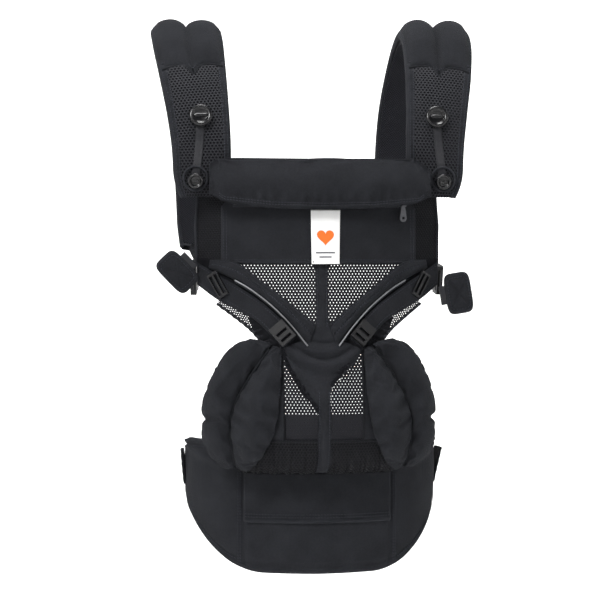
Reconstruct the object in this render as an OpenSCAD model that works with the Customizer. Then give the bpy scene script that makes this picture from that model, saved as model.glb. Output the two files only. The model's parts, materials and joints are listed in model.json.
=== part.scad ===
// Soft baby carrier: a structured fabric panel with a bucket seat, a padded
// waistbelt and two padded shoulder straps that run over the shoulders and
// come back under the arms to a side release buckle on each side.
// +Z is up, +X is the side on the right when the front is looked at, and the
// front faces -Y. The origin is the middle of the waist opening.

/* [Shoulder straps] */
// Width of the shoulder strap where it is widest, over the shoulder
strap_w = 80; // [70:1:90]
// Thickness of the strap foam
strap_foam_t = 11; // [8:1:13]

/* [Waistbelt] */
// Half of the width of the waist opening
waist_a = 141; // [138:1:145]
// Half of the depth of the waist opening
waist_b = 98; // [96:1:100]
// Height of the belt below the waist line, at the middle of the front
belt_drop = 115; // [95:1:120]
// Height of the belt above the waist line
belt_rise = 36; // [30:1:38]
// Thickness of the belt foam
belt_foam_t = 5.5; // [4:0.5:6]

/* [Panel] */
// Width of the canvas band down the middle
band_w = 15; // [12:1:18]
// Thickness of one layer of canvas
canvas_t = 2.2; // [1.6:0.2:2.6]
// Thickness of the spacer mesh
mesh_t = 1.4; // [1:0.2:1.8]
// Thickness of the padded seat wings where they are fullest
wing_t = 15; // [10:1:18]

/* [Head pillow] */
// Half of the pillow's width
pillow_half = 128; // [118:1:128]
// Thickness of the pillow where it is fullest
pillow_t = 20; // [14:1:22]

/* [Buckles] */
// Width of the webbing in the side buckles
side_webbing_w = 25; // [20:1:25]
// Width of the webbing in the waist buckle
waist_webbing_w = 38; // [30:1:40]
// Width of the webbing in the chest buckle
chest_webbing_w = 20; // [18:1:24]

/* [Hidden] */

// Clearance between two pieces that lie side by side
gap = 0.4;
// Facets of a true circle
round_fn = 48;

// ---- Curves ----

// Point at t (0 to 1) along straight lines through the points of a list
function walk(list, t) =
    let(n = len(list) - 1, s = min(max(t, 0), 1) * n, i = min(floor(s), n - 1), f = s - i)
    list[i] * (1 - f) + list[i + 1] * f;

// Point at t (0 to 1) along a smooth curve through the points of a list
function spline(list, t) =
    let(n = len(list) - 1, s = min(max(t, 0), 1) * n, i = min(floor(s), n - 1), f = s - i)
    let(b = list[i], c = list[i + 1])
    let(a = i > 0 ? list[i - 1] : 2 * b - c, d = i < n - 1 ? list[i + 2] : 2 * c - b)
    0.5 * (2 * b + (c - a) * f + (2 * a - 5 * b + 4 * c - d) * f * f + (3 * b - a - 3 * c + d) * f * f * f);

function unit(v) = v / norm(v);

// ---- Closed solid between two grids of points ----

function grid_ring(nu, nv) = concat(
    [for (i = [0:nu - 1]) [i, 0]],
    [for (j = [0:nv - 1]) [nu, j]],
    [for (i = [nu:-1:1]) [i, nv]],
    [for (j = [nv:-1:1]) [0, j]]);

function signed_volume(pts, faces) =
    let(v = [for (f = faces) pts[f[0]] * cross(pts[f[1]], pts[f[2]])])
    v * [for (f = faces) 1];

// front(u, v) and back(u, v) give points, with u and v from 0 to 1
module layer(nu, nv, front, back) {
    w = nu + 1;
    m = w * (nv + 1);
    pts = concat(
        [for (j = [0:nv]) for (i = [0:nu]) front(i / nu, j / nv)],
        [for (j = [0:nv]) for (i = [0:nu]) back(i / nu, j / nv)]);
    cells = [for (j = [0:nv - 1]) for (i = [0:nu - 1]) j * w + i];
    ring = grid_ring(nu, nv);
    rim = [for (p = ring) p[1] * w + p[0]];
    k = len(rim);
    faces = concat(
        [for (c = cells) [c, c + 1, c + w + 1]],
        [for (c = cells) [c, c + w + 1, c + w]],
        [for (c = cells) [m + c, m + c + w + 1, m + c + 1]],
        [for (c = cells) [m + c, m + c + w, m + c + w + 1]],
        [for (q = [0:k - 1]) [rim[q], m + rim[q], m + rim[(q + 1) % k]]],
        [for (q = [0:k - 1]) [rim[q], m + rim[(q + 1) % k], rim[(q + 1) % k]]]);
    flip = signed_volume(pts, faces) > 0;
    polyhedron(pts, flip ? [for (f = faces) [f[2], f[1], f[0]]] : faces);
}

module mirrored(side) {
    mirror([side < 0 ? 1 : 0, 0, 0]) children();
}

// ---- The panel's surface ----
// t runs up the middle of the panel; above the seat it is the height itself.
// Each row is t, y, z and the sideways curvature there.
PANEL = [
    [-20, -117, 5.5, 0.0030], [0, -139, 8, 0.0034], [14, -153, 16, 0.0036], [32, -165, 33, 0.0036],
    [55, -171.5, 55, 0.0036], [85, -170, 85, 0.0034], [118, -161, 118, 0.0028], [150, -152, 150, 0.0022],
    [200, -142, 200, 0.0021], [250, -135, 250, 0.0021], [310, -130, 310, 0.0021], [366, -128, 366, 0.0021]
];
function panel_row(t) = [for (c = [1:3]) lookup(t, [for (r = PANEL) [r[0], r[c]]])];
function panel_normal(t) =
    let(a = panel_row(t - 7), b = panel_row(t + 7), d = unit([b[0] - a[0], b[1] - a[1]]))
    [0, d[1], -d[0]];
// Point of the panel at x and t, moved back by off (forward when it is negative)
function panel_pt(x, t, off) =
    let(r = panel_row(t))
    [x, r[0] + r[2] * x * x, r[1]] + panel_normal(t) * off;

// Layer of the panel between two edge lines, each a list of [x, t]
module panel_layer(edge_a, edge_b, nu, nv, off_front, off_back) {
    function flat(u, v) = walk(edge_a, v) * (1 - u) + walk(edge_b, v) * u;
    front = function(u, v) let(p = flat(u, v)) panel_pt(p[0], p[1], off_front);
    back = function(u, v) let(p = flat(u, v)) panel_pt(p[0], p[1], off_back);
    layer(nu, nv, front, back);
}

// Cushion on the panel: it is edge_t thick at its edges and full_t at its middle
module panel_cushion(edge_a, edge_b, nu, nv, off_back, edge_t, full_t) {
    function flat(u, v) = spline(edge_a, v) * (1 - u) + spline(edge_b, v) * u;
    function thick(u, v) = edge_t + (full_t - edge_t) * pow(sin(180 * u), 0.7) * pow(sin(180 * v), 0.4);
    front = function(u, v) let(p = flat(u, v)) panel_pt(p[0], p[1], off_back - thick(u, v));
    back = function(u, v) let(p = flat(u, v)) panel_pt(p[0], p[1], off_back);
    layer(nu, nv, front, back);
}

// ---- Upper panel ----

band_half = band_w / 2;
panel_half = 113.5;
panel_foot = 247.5;
panel_top = 366;
// The panel narrows between these two heights, to pass behind the pillow
shoulder_foot = 312;
shoulder_top = 322;
panel_neck = 102.5;
gusset_half = 141;
gusset_t = 3;

PANEL_EDGE = [
    [panel_half, panel_foot], [panel_half, shoulder_foot], [panel_neck, shoulder_top], [panel_neck, panel_top]
];
module upper_panel() {
    color("#26282c")
    panel_layer([for (p = PANEL_EDGE) [-p[0], p[1]]], PANEL_EDGE, 14, 9, -2, 2);
}

module panel_gusset(side) {
    inner = panel_half + gap;
    color("#1c1d20") mirrored(side)
    panel_layer([[inner, panel_foot], [inner, shoulder_foot]],
        [[gusset_half, panel_foot], [gusset_half, shoulder_foot]],
        3, 4, -gusset_t / 2, gusset_t / 2);
}
module panel_gusset_left() { panel_gusset(-1); }
module panel_gusset_right() { panel_gusset(1); }

window_half = 98;
window_head = 246.8;
window_foot = 176;
module upper_mesh(side) {
    color("#1a1a1c") mirrored(side)
    panel_layer([[band_half + gap, window_head], [band_half + gap, window_foot]],
        [[window_half, window_head], [band_half + 2, window_foot]],
        6, 6, -mesh_t / 2, mesh_t / 2);
}
module upper_mesh_left() { upper_mesh(-1); }
module upper_mesh_right() { upper_mesh(1); }

// The band widens into a gathered saddle where the two seat straps meet it
BAND_EDGE = [
    [band_half, 247], [band_half, 205], [band_half, 172], [20, 160], [40, 147], [36, 136], [20, 120],
    [band_half, 104], [band_half, 76], [band_half, 46], [band_half, 20], [band_half, -2], [band_half, -18]
];
module centre_band() {
    color("#26282c")
    panel_layer([for (p = BAND_EDGE) [-p[0], p[1]]], BAND_EDGE, 4, 12, -canvas_t / 2, canvas_t / 2);
}

module label() {
    color("#f4f4f2")
    panel_layer([[-11, 305], [-12, 244.5]], [[22, 305], [20, 244.5]], 2, 3, -3.4, -2.4);
}

// ---- Yoke: two padded bands that fall from the side buckles to the middle ----

YOKE_TOP = [[126, 249], [97, 245], [67, 223], [38, 200], [9, 177]];
YOKE_FOOT = [[126, 239], [98, 227], [72, 210], [46, 187], [16, 152]];
module yoke_pad(side) {
    color("#2b2d31") mirrored(side)
    panel_cushion(YOKE_TOP, YOKE_FOOT, 4, 12, -2.6, 2.5, 7);
}
module yoke_pad_left() { yoke_pad(-1); }
module yoke_pad_right() { yoke_pad(1); }

piping_w = 2.4;
PIPING = [[98, 224.5], [72, 207.5], [46, 184.5], [18, 151.5]];
module yoke_piping() {
    for (side = [-1, 1])
        color("#8f9398") mirrored(side)
        panel_layer([for (p = PIPING) p + [0, piping_w / 2]], [for (p = PIPING) p - [0, piping_w / 2]],
            1, 12, -7, -4.4);
}

ADJUSTER_TOP = [[140, 246], [119, 232.5], [97, 219.5], [70, 201], [47, 180], [31, 160]];
ADJUSTER_FOOT = [[140, 221], [120, 206], [100, 195], [76, 181], [60, 165], [46, 148.5]];
module adjuster_band(side) {
    color("#232529") mirrored(side)
    panel_layer(ADJUSTER_TOP, ADJUSTER_FOOT, 2, 12, -4, -2);
}
module adjuster_band_left() { adjuster_band(-1); }
module adjuster_band_right() { adjuster_band(1); }

// Rectangular ring that joins the adjuster band to the side webbing
slider_x = 118;
slider_t = 220;
module band_slider() {
    spot = panel_pt(slider_x, slider_t, -9.4);
    for (side = [-1, 1])
        color("#0c0c0e") mirrored(side)
        translate(spot) rotate([0, 0, 27]) rotate([0, 31, 0])
        difference() {
            cube([13, 3.4, 31], center = true);
            for (x = [-3.2, 3.2])
                translate([x, 0, 0]) cube([3.6, 5, 25], center = true);
        }
}

// Clasp that slides along the end of the adjuster band to set the seat width
clasp_x = 46.5;
clasp_t = 165;
module seat_adjuster(side) {
    spot = panel_pt(clasp_x, clasp_t, -8.6);
    color("#0a0a0c") mirrored(side)
    translate(spot) rotate([-10, 0, 11]) rotate([0, -48, 0])
    difference() {
        cube([25, 4.4, 20], center = true);
        for (x = [-7, 1])
            translate([x, 0, 0]) cube([3.4, 6, 14], center = true);
    }
}
module seat_adjuster_left() { seat_adjuster(-1); }
module seat_adjuster_right() { seat_adjuster(1); }

SIDE_MESH_TOP = [[116, 206], [92, 194], [68, 177], [50, 158]];
SIDE_MESH_FOOT = [[117, 200], [98, 185], [81, 171], [67, 158]];
module side_mesh() {
    for (side = [-1, 1])
        color("#1a1a1c") mirrored(side)
        panel_layer(SIDE_MESH_TOP, SIDE_MESH_FOOT, 2, 9, -mesh_t / 2, mesh_t / 2);
}

// ---- Seat ----

window_edge = 46;
seat_head = 44;
SEAT_EDGE = [[70, seat_head], [80, 20], [88, 0], [92, -18]];
module seat_base() {
    for (side = [-1, 1])
        color("#222428") mirrored(side)
        panel_layer([[band_half + gap, seat_head], [band_half + gap, -18]], SEAT_EDGE,
            5, 9, -canvas_t / 2, canvas_t / 2);
}

module seat_side() {
    inner = window_edge + gap;
    for (side = [-1, 1])
        color("#222428") mirrored(side)
        panel_layer([[inner, 145], [inner, seat_head + gap]], [[62, 156], [70, seat_head + gap]],
            2, 9, -canvas_t / 2, canvas_t / 2);
}

module seat_mesh(side) {
    inner = band_half + gap;
    color("#1a1a1c") mirrored(side)
    panel_layer([[20.6, 119], [inner, 103.5], [inner, seat_head + gap]],
        [[window_edge, 145], [window_edge, 103.5], [window_edge, seat_head + gap]],
        5, 8, -mesh_t / 2, mesh_t / 2);
}
module seat_mesh_left() { seat_mesh(-1); }
module seat_mesh_right() { seat_mesh(1); }

// Padded wings at each side of the seat, for the thighs
WING_IN_A = [[38, 142], [49, 90], [63, 32], [76, 6]];
WING_IN_B = [[66, 150], [84, 108], [95, 54], [91, 14]];
module wing_inner(side) {
    color("#26282c") mirrored(side)
    panel_cushion(WING_IN_A, WING_IN_B, 6, 12, -1.8, 4, wing_t + 4);
}
module wing_inner_left() { wing_inner(-1); }
module wing_inner_right() { wing_inner(1); }

WING_OUT_A = [[68.5, 152], [86.5, 109], [97.5, 54], [94, 14]];
WING_OUT_B = [[92, 156], [117, 126], [134, 86], [135, 52], [118, 13]];
module wing_outer(side) {
    color("#202226") mirrored(side)
    panel_cushion(WING_OUT_A, WING_OUT_B, 6, 12, -1.8, 4, wing_t);
}
module wing_outer_left() { wing_outer(-1); }
module wing_outer_right() { wing_outer(1); }

// ---- Waistbelt ----

belt_end = 100;
cover_t = 3;
// Height of the belt's lower edge at an angle round the waist, 0 at the front
function belt_foot(a) = lookup(abs(a), [
    [0, -belt_drop], [30, -belt_drop + 1], [42, -belt_drop + 10], [54, -belt_drop + 27],
    [68, -belt_drop + 50], [82, -belt_drop + 72], [100, -23]]);
function belt_head(a) = lookup(abs(a), [[0, belt_rise - 6], [40, belt_rise], [80, belt_rise], [100, 28]]);
function waist_pt(a, off, z) = [(waist_a + off) * sin(a), -(waist_b + off) * cos(a), z];

module belt_layer(off_in, off_out, inset, nu) {
    function height(a, v) = (belt_foot(a) + inset) * (1 - v) + (belt_head(a) - inset) * v;
    end = belt_end - inset / 2;
    front = function(u, v) let(a = -end + 2 * end * u) waist_pt(a, off_out, height(a, v));
    back = function(u, v) let(a = -end + 2 * end * u) waist_pt(a, off_in, height(a, v));
    layer(nu, 5, front, back);
}
module belt_foam() { color("#3a3a3a") belt_layer(0.3, belt_foam_t, 4, 32); }
module belt_cover() { color("#26282c") belt_layer(belt_foam_t + 0.5, belt_foam_t + 0.5 + cover_t, 0, 32); }

flap_half = 84;
flap_foot = -54;
flap_head = -1;
flap_t = 2;
module belt_flap() {
    off = belt_foam_t + cover_t + 1;
    end = asin(flap_half / (waist_a + off));
    front = function(u, v) waist_pt(-end + 2 * end * u, off + flap_t, flap_foot * (1 - v) + flap_head * v);
    back = function(u, v) waist_pt(-end + 2 * end * u, off, flap_foot * (1 - v) + flap_head * v);
    color("#26282c") layer(16, 2, front, back);
}

// Belt webbing: round each side to the buckle at the back
webbing_t = 1.8;
waist_back = 104;
// Level of the webbing that is threaded through a plug, above the plug's middle
thread_level = 2.2;
// Middle of the webbing where it is threaded through a plug
thread_mid = thread_level + webbing_t / 2;
// Where the webbing leaves a plug, and where it ends at a socket
plug_x = 6.5;
socket_x = 34.4;
function waist_path(back) = [[143, 21, 0], [139, 42, 0], [127, 64, 0], [102, 88, 0], [64, back, 0]];
module webbing_run(path, n, width, t) {
    function across(v) =
        let(a = spline(path, v - 0.02), b = spline(path, v + 0.02), d = unit([b[0] - a[0], b[1] - a[1]]))
        [d[1], -d[0], 0];
    front = function(u, v) spline(path, v) + [0, 0, (u - 0.5) * width] + across(v) * t / 2;
    back = function(u, v) spline(path, v) + [0, 0, (u - 0.5) * width] - across(v) * t / 2;
    layer(1, n, front, back);
}
module waist_webbing() {
    color("#111214") webbing_run(waist_path(waist_back + thread_mid), 16, waist_webbing_w, webbing_t);
    color("#111214") translate([plug_x, waist_back + thread_level, -waist_webbing_w / 2])
    cube([57, webbing_t, waist_webbing_w]);
    color("#111214") mirror([1, 0, 0]) webbing_run(waist_path(waist_back), 16, waist_webbing_w, webbing_t);
    color("#111214") translate([-63.5, waist_back - webbing_t / 2, -waist_webbing_w / 2])
    cube([22, webbing_t, waist_webbing_w]);
}

// ---- Side release buckle ----
// Local frame: the plug leaves along +x, y is across the webbing, z is the
// thickness. The socket's mouth is at x = 0.

socket_len = 34;
shell_wall = 1.8;
blade_half = 4;
prong_t = 3.4;
// From the shell's inner wall to the middle of a prong
prong_inset = 3.4;
// Clearance round the webbing in a slot
slot_gap = 0.6;
function socket_half(w) = w / 2 + 4.5;
function prong_y(w) = socket_half(w) - shell_wall - prong_inset;

module buckle_socket(w, t) {
    half = socket_half(w);
    color("#0a0a0c")
    difference() {
        translate([-socket_len, -half, -t / 2]) cube([socket_len, 2 * half, t]);
        translate([-24, -half + shell_wall, -prong_t / 2 - slot_gap])
        cube([30, 2 * (half - shell_wall), prong_t + 2 * slot_gap]);
        // side windows, through which the prongs are pressed
        translate([-17, -half - 5, -t]) cube([11, 5 + shell_wall + 0.4, 2 * t]);
        translate([-17, half - shell_wall - 0.4, -t]) cube([11, 5 + shell_wall, 2 * t]);
        // slot for the fixed webbing
        translate([-31, -w / 2 - slot_gap, -t]) cube([3.6, w + 2 * slot_gap, 2 * t]);
    }
}

module buckle_plug(w, t) {
    half = socket_half(w) - 2;
    back_len = 17;
    color("#0c0c0e")
    difference() {
        union() {
            translate([2.6, -half, -t / 2]) cube([back_len, 2 * half, t + 1.2]);
            translate([-19, -blade_half, -prong_t / 2]) cube([22, 2 * blade_half, prong_t]);
        }
        // the adjustable webbing runs through this tunnel
        translate([-1, -w / 2 - slot_gap, thread_level - 0.4])
        cube([30, w + 2 * slot_gap, webbing_t + 0.8]);
    }
}

// One springy prong, on the +y side of the plug
module buckle_prong(w) {
    y = prong_y(w);
    color("#0c0c0e")
    union() {
        translate([-19, y - 1.3, -prong_t / 2]) cube([21, 2.6, prong_t]);
        translate([-16.4, y - 1.3, -prong_t / 2]) cube([9.6, 4.3, prong_t]);
        translate([-19, y, 0]) cylinder(d = 2.6, h = prong_t, center = true, $fn = round_fn);
    }
}

waist_buckle_t = 8;
module place_waist() { translate([0, waist_back, 0]) rotate([-90, 0, 0]) children(); }
module waist_socket() { place_waist() buckle_socket(waist_webbing_w, waist_buckle_t); }
module waist_plug() { place_waist() buckle_plug(waist_webbing_w, waist_buckle_t); }
module waist_prong_top() { place_waist() mirror([0, 1, 0]) buckle_prong(waist_webbing_w); }
module waist_prong_bottom() { place_waist() buckle_prong(waist_webbing_w); }

// ---- Shoulder straps ----
// Middle line of the right strap: x, y, z and the width there
STRAP = [
    [135, -108, 322, 0.775], [135.5, -110, 350, 0.775], [136.5, -107, 385, 0.8], [140, -97, 425, 0.85],
    [145, -76, 468, 0.925], [149, -42, 506, 0.99], [150, -2, 522, 1], [147, 36, 510, 0.975],
    [140, 64, 476, 0.925], [132, 80, 430, 0.875], [127, 86, 380, 0.825], [125, 84, 330, 0.8],
    [127, 71, 291, 0.72], [131, 54, 263, 0.55]
];
function strap_mid(s) = let(p = spline(STRAP, s)) [p[0], p[1], p[2]];
// Point of the strap at s along it, u across it (-1 to 1) and off outward
function strap_pt(s, u, off) =
    let(p = spline(STRAP, s))
    let(d = unit(strap_mid(s + 0.02) - strap_mid(s - 0.02)))
    let(across = unit([1, 0, 0] - d * d[0]))
    let(out = cross(across, d))
    [p[0], p[1], p[2]] + across * u * p[3] * strap_w / 2 + out * (off - 1.2 * u * u);

module strap_layer(off_in, off_out, half_u, s0, s1, n) {
    front = function(u, v) strap_pt(s0 + (s1 - s0) * v, half_u * (2 * u - 1), off_out);
    back = function(u, v) strap_pt(s0 + (s1 - s0) * v, half_u * (2 * u - 1), off_in);
    layer(4, n, front, back);
}
foam_half = strap_foam_t / 2;
strap_face = foam_half + 3.3;
module strap_cover(side) {
    color("#26282c") mirrored(side) strap_layer(foam_half + 0.3, strap_face, 1, 0, 1, 40);
}
module strap_cover_left() { strap_cover(-1); }
module strap_cover_right() { strap_cover(1); }
module strap_foam() {
    for (side = [-1, 1])
        color("#3a3a3a") mirrored(side) strap_layer(-foam_half, foam_half, 0.95, 0.01, 0.99, 40);
}
module strap_lining() {
    for (side = [-1, 1])
        color("#1c1d20") mirrored(side) strap_layer(-foam_half - 2.2, -foam_half - 0.3, 1, 0, 1, 40);
}

// Positions along and across the strap of the two knobs that hold the pillow
KNOB_LOW = [0.054, 0.28];
KNOB_HIGH = [0.206, -0.04];
// Half of the strip's width, as a part of the strap's half width
tape_half = 0.14;
// Place on the strip that joins the knobs, at v (0 to 1) from the low one to the high one
function tape_place(v, u) =
    let(k = 0.2 + 0.58 * v)
    KNOB_LOW * (1 - k) + KNOB_HIGH * k + [0, (2 * u - 1) * tape_half];
module strap_tape() {
    front = function(u, v) let(k = tape_place(v, u)) strap_pt(k[0], k[1], strap_face + 1.7);
    back = function(u, v) let(k = tape_place(v, u)) strap_pt(k[0], k[1], strap_face + 0.4);
    for (side = [-1, 1])
        color("#101113") mirrored(side) layer(2, 8, front, back);
}

module knob(place, d, h) {
    spot = strap_pt(place[0], place[1], strap_face + 0.5);
    tilt = atan2(strap_mid(place[0] + 0.02)[1] - strap_mid(place[0] - 0.02)[1],
        strap_mid(place[0] + 0.02)[2] - strap_mid(place[0] - 0.02)[2]);
    for (side = [-1, 1])
        color("#08080a") mirrored(side)
        translate(spot) rotate([90 - tilt, 0, 0])
        difference() {
            union() {
                cylinder(d = d * 0.55, h = h, $fn = round_fn);
                translate([0, 0, h * 0.45]) cylinder(d = d, h = h * 0.55, $fn = round_fn);
            }
            translate([0, 0, h - 1.6]) cylinder(d = d * 0.66, h = 2, $fn = round_fn);
        }
}
module upper_knob() { knob(KNOB_HIGH, 26, 8.5); }
module lower_knob() { knob(KNOB_LOW, 17.5, 8.5); }

// Side webbing: straight from the strap's lower end to the side buckle
side_mouth = [141, -58, 232];
side_turn = [90, -10.95, 97];
side_buckle_t = 7;
module place_side(side) {
    mirrored(side) translate(side_mouth) rotate(side_turn) children();
}
module side_webbing() {
    for (side = [-1, 1])
        color("#111214") place_side(side)
        translate([plug_x, -side_webbing_w / 2, thread_level]) cube([99, side_webbing_w, webbing_t]);
    for (side = [-1, 1])
        color("#111214") place_side(side)
        translate([-41, -side_webbing_w / 2, -webbing_t / 2]) cube([6.6, side_webbing_w, webbing_t]);
}
module side_socket() {
    for (side = [-1, 1])
        place_side(side) buckle_socket(side_webbing_w, side_buckle_t);
}
module side_plug_left() { place_side(-1) buckle_plug(side_webbing_w, side_buckle_t); }
module side_plug_right() { place_side(1) buckle_plug(side_webbing_w, side_buckle_t); }
module prong_top_left() { place_side(-1) buckle_prong(side_webbing_w); }
module prong_bottom_left() { place_side(-1) mirror([0, 1, 0]) buckle_prong(side_webbing_w); }
module prong_top_right() { place_side(1) buckle_prong(side_webbing_w); }
module prong_bottom_right() { place_side(1) mirror([0, 1, 0]) buckle_prong(side_webbing_w); }

// Padded tab that stands out beside each side buckle
pad_w = 31;
pad_h = 48;
pad_t = 9;
pad_r = 7;
module pad_outline() {
    offset(r = pad_r) square([pad_w - 2 * pad_r, pad_h - 2 * pad_r], center = true);
}
module buckle_pad(side, spot, tilt) {
    color("#26282c") mirrored(side)
    translate(spot) rotate([90, 0, 0]) rotate([0, 0, tilt])
    linear_extrude(height = pad_t, center = true) pad_outline();
}
module buckle_pad_left() { buckle_pad(-1, [164, -107, 236], -44); }
module buckle_pad_right() { buckle_pad(1, [165, -104, 211], 9); }

// ---- Head pillow, folded down over the top of the panel ----

pillow_edge_t = 5;
pillow_head = 366;
// Height of the pillow's lower edge across half of its width, and its rear face
PILLOW_FOOT = [[0, 308], [60, 309], [112, 314], [128, 326]];
PILLOW_REAR = [[308, -141.5], [pillow_head, -134]];
module head_pillow() {
    bend = 0.0008;
    function foot(x) = lookup(abs(x), PILLOW_FOOT);
    function rear(z) = lookup(z, PILLOW_REAR);
    function fill(v) = v < 0.5 ? sqrt(sin(180 * v)) : 0.45 + 0.55 * sin(180 * v);
    function thick(u, v) =
        pillow_edge_t + (pillow_t - pillow_edge_t) * pow(sin(180 * u), 0.25) * fill(v);
    place = function(u, v)
        let(x = pillow_half * (2 * u - 1))
        [x, bend * x * x, foot(x) * (1 - v) + pillow_head * v];
    front = function(u, v) let(p = place(u, v)) [p[0], p[1] + rear(p[2]) - thick(u, v), p[2]];
    back = function(u, v) let(p = place(u, v)) [p[0], p[1] + rear(p[2]), p[2]];
    color("#26282c") layer(20, 7, front, back);
}

// Loop at each end of the pillow; it drops over the lower knob, a little above the knob's
// middle so that it clears the knob as the pillow turns up
loop_rise = 3;
module pillow_loop() {
    spot = strap_pt(KNOB_LOW[0], KNOB_LOW[1], strap_face + 3.1) + [0, 0, loop_rise];
    for (side = [-1, 1])
        color("#101113") mirrored(side)
        translate(spot) rotate([90, 0, 0])
        difference() {
            cylinder(d = 30, h = 2, center = true, $fn = round_fn);
            cylinder(d = 25, h = 4, center = true, $fn = round_fn);
        }
}

// ---- Zip of the pocket in the upper panel ----

zip_t = 315;
zip_half = 100;
zip_x = 97;
zip_w = 8;
module zip_tape() {
    head = zip_t + zip_w / 2;
    foot = zip_t - zip_w / 2;
    color("#0c0c0e")
    panel_layer([[-zip_half, head], [zip_half, head]], [[-zip_half, foot], [zip_half, foot]],
        1, 20, -3.6, -2.4);
}
module zip_slider() {
    spot = panel_pt(zip_x, zip_t, -5.6);
    color("#7d8187") translate(spot) rotate([0, 0, 22]) cube([9, 3, 7], center = true);
}
module zip_pull() {
    spot = panel_pt(zip_x, zip_t, -9);
    color("#7d8187") translate(spot) rotate([90, 0, 22])
    difference() {
        hull() {
            translate([0, -3, 0]) cylinder(d = 4, h = 1.8, center = true, $fn = 32);
            translate([0, -17, 0]) cylinder(d = 9, h = 1.8, center = true, $fn = 32);
        }
        translate([0, -17, 0]) cylinder(d = 3.4, h = 4, center = true, $fn = 32);
    }
}

// ---- Chest strap, across the back between the two shoulder straps ----

chest_y = 101;
chest_z = 345;
chest_reach = 112;
chest_buckle_t = 6.6;
keeper_w = 12;
keeper_h = 36;
module place_chest() { translate([0, chest_y, chest_z]) rotate([-90, 0, 0]) children(); }
module chest_webbing() {
    color("#111214") place_chest() union() {
        translate([plug_x, -chest_webbing_w / 2, thread_level])
        cube([chest_reach - plug_x, chest_webbing_w, webbing_t]);
        translate([chest_reach - keeper_w, -keeper_h / 2, -3.2]) cube([keeper_w, keeper_h, 7]);
    }
    color("#111214") place_chest() union() {
        translate([-chest_reach, -chest_webbing_w / 2, -webbing_t / 2])
        cube([chest_reach - socket_x, chest_webbing_w, webbing_t]);
        translate([-chest_reach, -keeper_h / 2, -3.2]) cube([keeper_w, keeper_h, 7]);
    }
}
module chest_socket() { place_chest() buckle_socket(chest_webbing_w, chest_buckle_t); }
module chest_plug() { place_chest() buckle_plug(chest_webbing_w, chest_buckle_t); }
module chest_prong_top() { place_chest() mirror([0, 1, 0]) buckle_prong(chest_webbing_w); }
module chest_prong_bottom() { place_chest() buckle_prong(chest_webbing_w); }

// ---- Drawing ----

upper_panel();
panel_gusset_left();
panel_gusset_right();
upper_mesh_left();
upper_mesh_right();
centre_band();
label();
yoke_pad_left();
yoke_pad_right();
yoke_piping();
adjuster_band_left();
adjuster_band_right();
band_slider();
seat_adjuster_left();
seat_adjuster_right();
side_mesh();
seat_base();
seat_side();
seat_mesh_left();
seat_mesh_right();
wing_outer_left();
wing_outer_right();
wing_inner_left();
wing_inner_right();
belt_cover();
belt_foam();
belt_flap();
waist_webbing();
waist_socket();
waist_plug();
waist_prong_top();
waist_prong_bottom();
strap_cover_left();
strap_cover_right();
strap_foam();
strap_lining();
strap_tape();
upper_knob();
lower_knob();
side_webbing();
side_socket();
side_plug_left();
side_plug_right();
prong_top_left();
prong_bottom_left();
prong_top_right();
prong_bottom_right();
buckle_pad_left();
buckle_pad_right();
head_pillow();
pillow_loop();
zip_tape();
zip_slider();
zip_pull();
chest_webbing();
chest_socket();
chest_plug();
chest_prong_top();
chest_prong_bottom();
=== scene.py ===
"""A soft baby carrier as worn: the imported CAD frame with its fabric, webbing, nets and hardware."""
import json
import math

import bmesh
import bpy
import numpy as np
from mathutils import Matrix, Vector

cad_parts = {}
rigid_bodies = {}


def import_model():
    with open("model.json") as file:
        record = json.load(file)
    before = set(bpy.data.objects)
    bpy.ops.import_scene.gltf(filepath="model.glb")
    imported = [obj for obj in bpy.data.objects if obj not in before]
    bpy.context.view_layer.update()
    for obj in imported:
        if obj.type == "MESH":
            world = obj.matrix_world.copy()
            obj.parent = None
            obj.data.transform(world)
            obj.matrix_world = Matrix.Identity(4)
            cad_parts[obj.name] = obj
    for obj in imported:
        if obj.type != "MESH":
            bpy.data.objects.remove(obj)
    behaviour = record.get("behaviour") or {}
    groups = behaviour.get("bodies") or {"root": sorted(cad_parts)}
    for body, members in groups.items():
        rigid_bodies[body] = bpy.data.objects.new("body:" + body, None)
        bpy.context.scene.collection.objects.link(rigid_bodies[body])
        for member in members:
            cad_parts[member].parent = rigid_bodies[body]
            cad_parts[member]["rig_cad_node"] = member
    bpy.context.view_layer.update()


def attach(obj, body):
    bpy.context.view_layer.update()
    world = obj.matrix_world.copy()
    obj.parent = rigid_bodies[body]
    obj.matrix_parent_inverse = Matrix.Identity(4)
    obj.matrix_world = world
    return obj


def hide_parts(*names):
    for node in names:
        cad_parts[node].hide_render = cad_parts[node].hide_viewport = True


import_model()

MM = 0.001
ROOT = "carrier"
LEFT, RIGHT = -1, 1
SIDES = {LEFT: "left", RIGHT: "right"}

# ---- curves and numbers


def spline(line, s):
    """Catmull-Rom curve through a line's points at s (0 to 1), the same as the CAD model's."""
    p = np.asarray(line, float)
    n = len(p) - 1
    s = np.clip(np.asarray(s, float), 0, 1) * n
    i = np.minimum(s.astype(int), n - 1)
    f = (s - i)[..., None]
    b, c = p[i], p[i + 1]
    a = np.where((i > 0)[..., None], p[np.maximum(i - 1, 0)], 2 * b - c)
    d = np.where((i < n - 1)[..., None], p[np.minimum(i + 2, n)], 2 * c - b)
    cubic = 3 * b - a - 3 * c + d
    return 0.5 * (2 * b + (c - a) * f + (2 * a - 5 * b + 4 * c - d) * f**2 + cubic * f**3)


def walk(line, s):
    """Straight lines through a line's points at s (0 to 1)."""
    p = np.asarray(line, float)
    t = np.linspace(0, 1, len(p))
    return np.stack([np.interp(s, t, p[:, k]) for k in range(p.shape[1])], -1)


def unit(v):
    v = np.asarray(v, float)
    return v / np.maximum(np.linalg.norm(v, axis=-1, keepdims=True), 1e-9)


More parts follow.
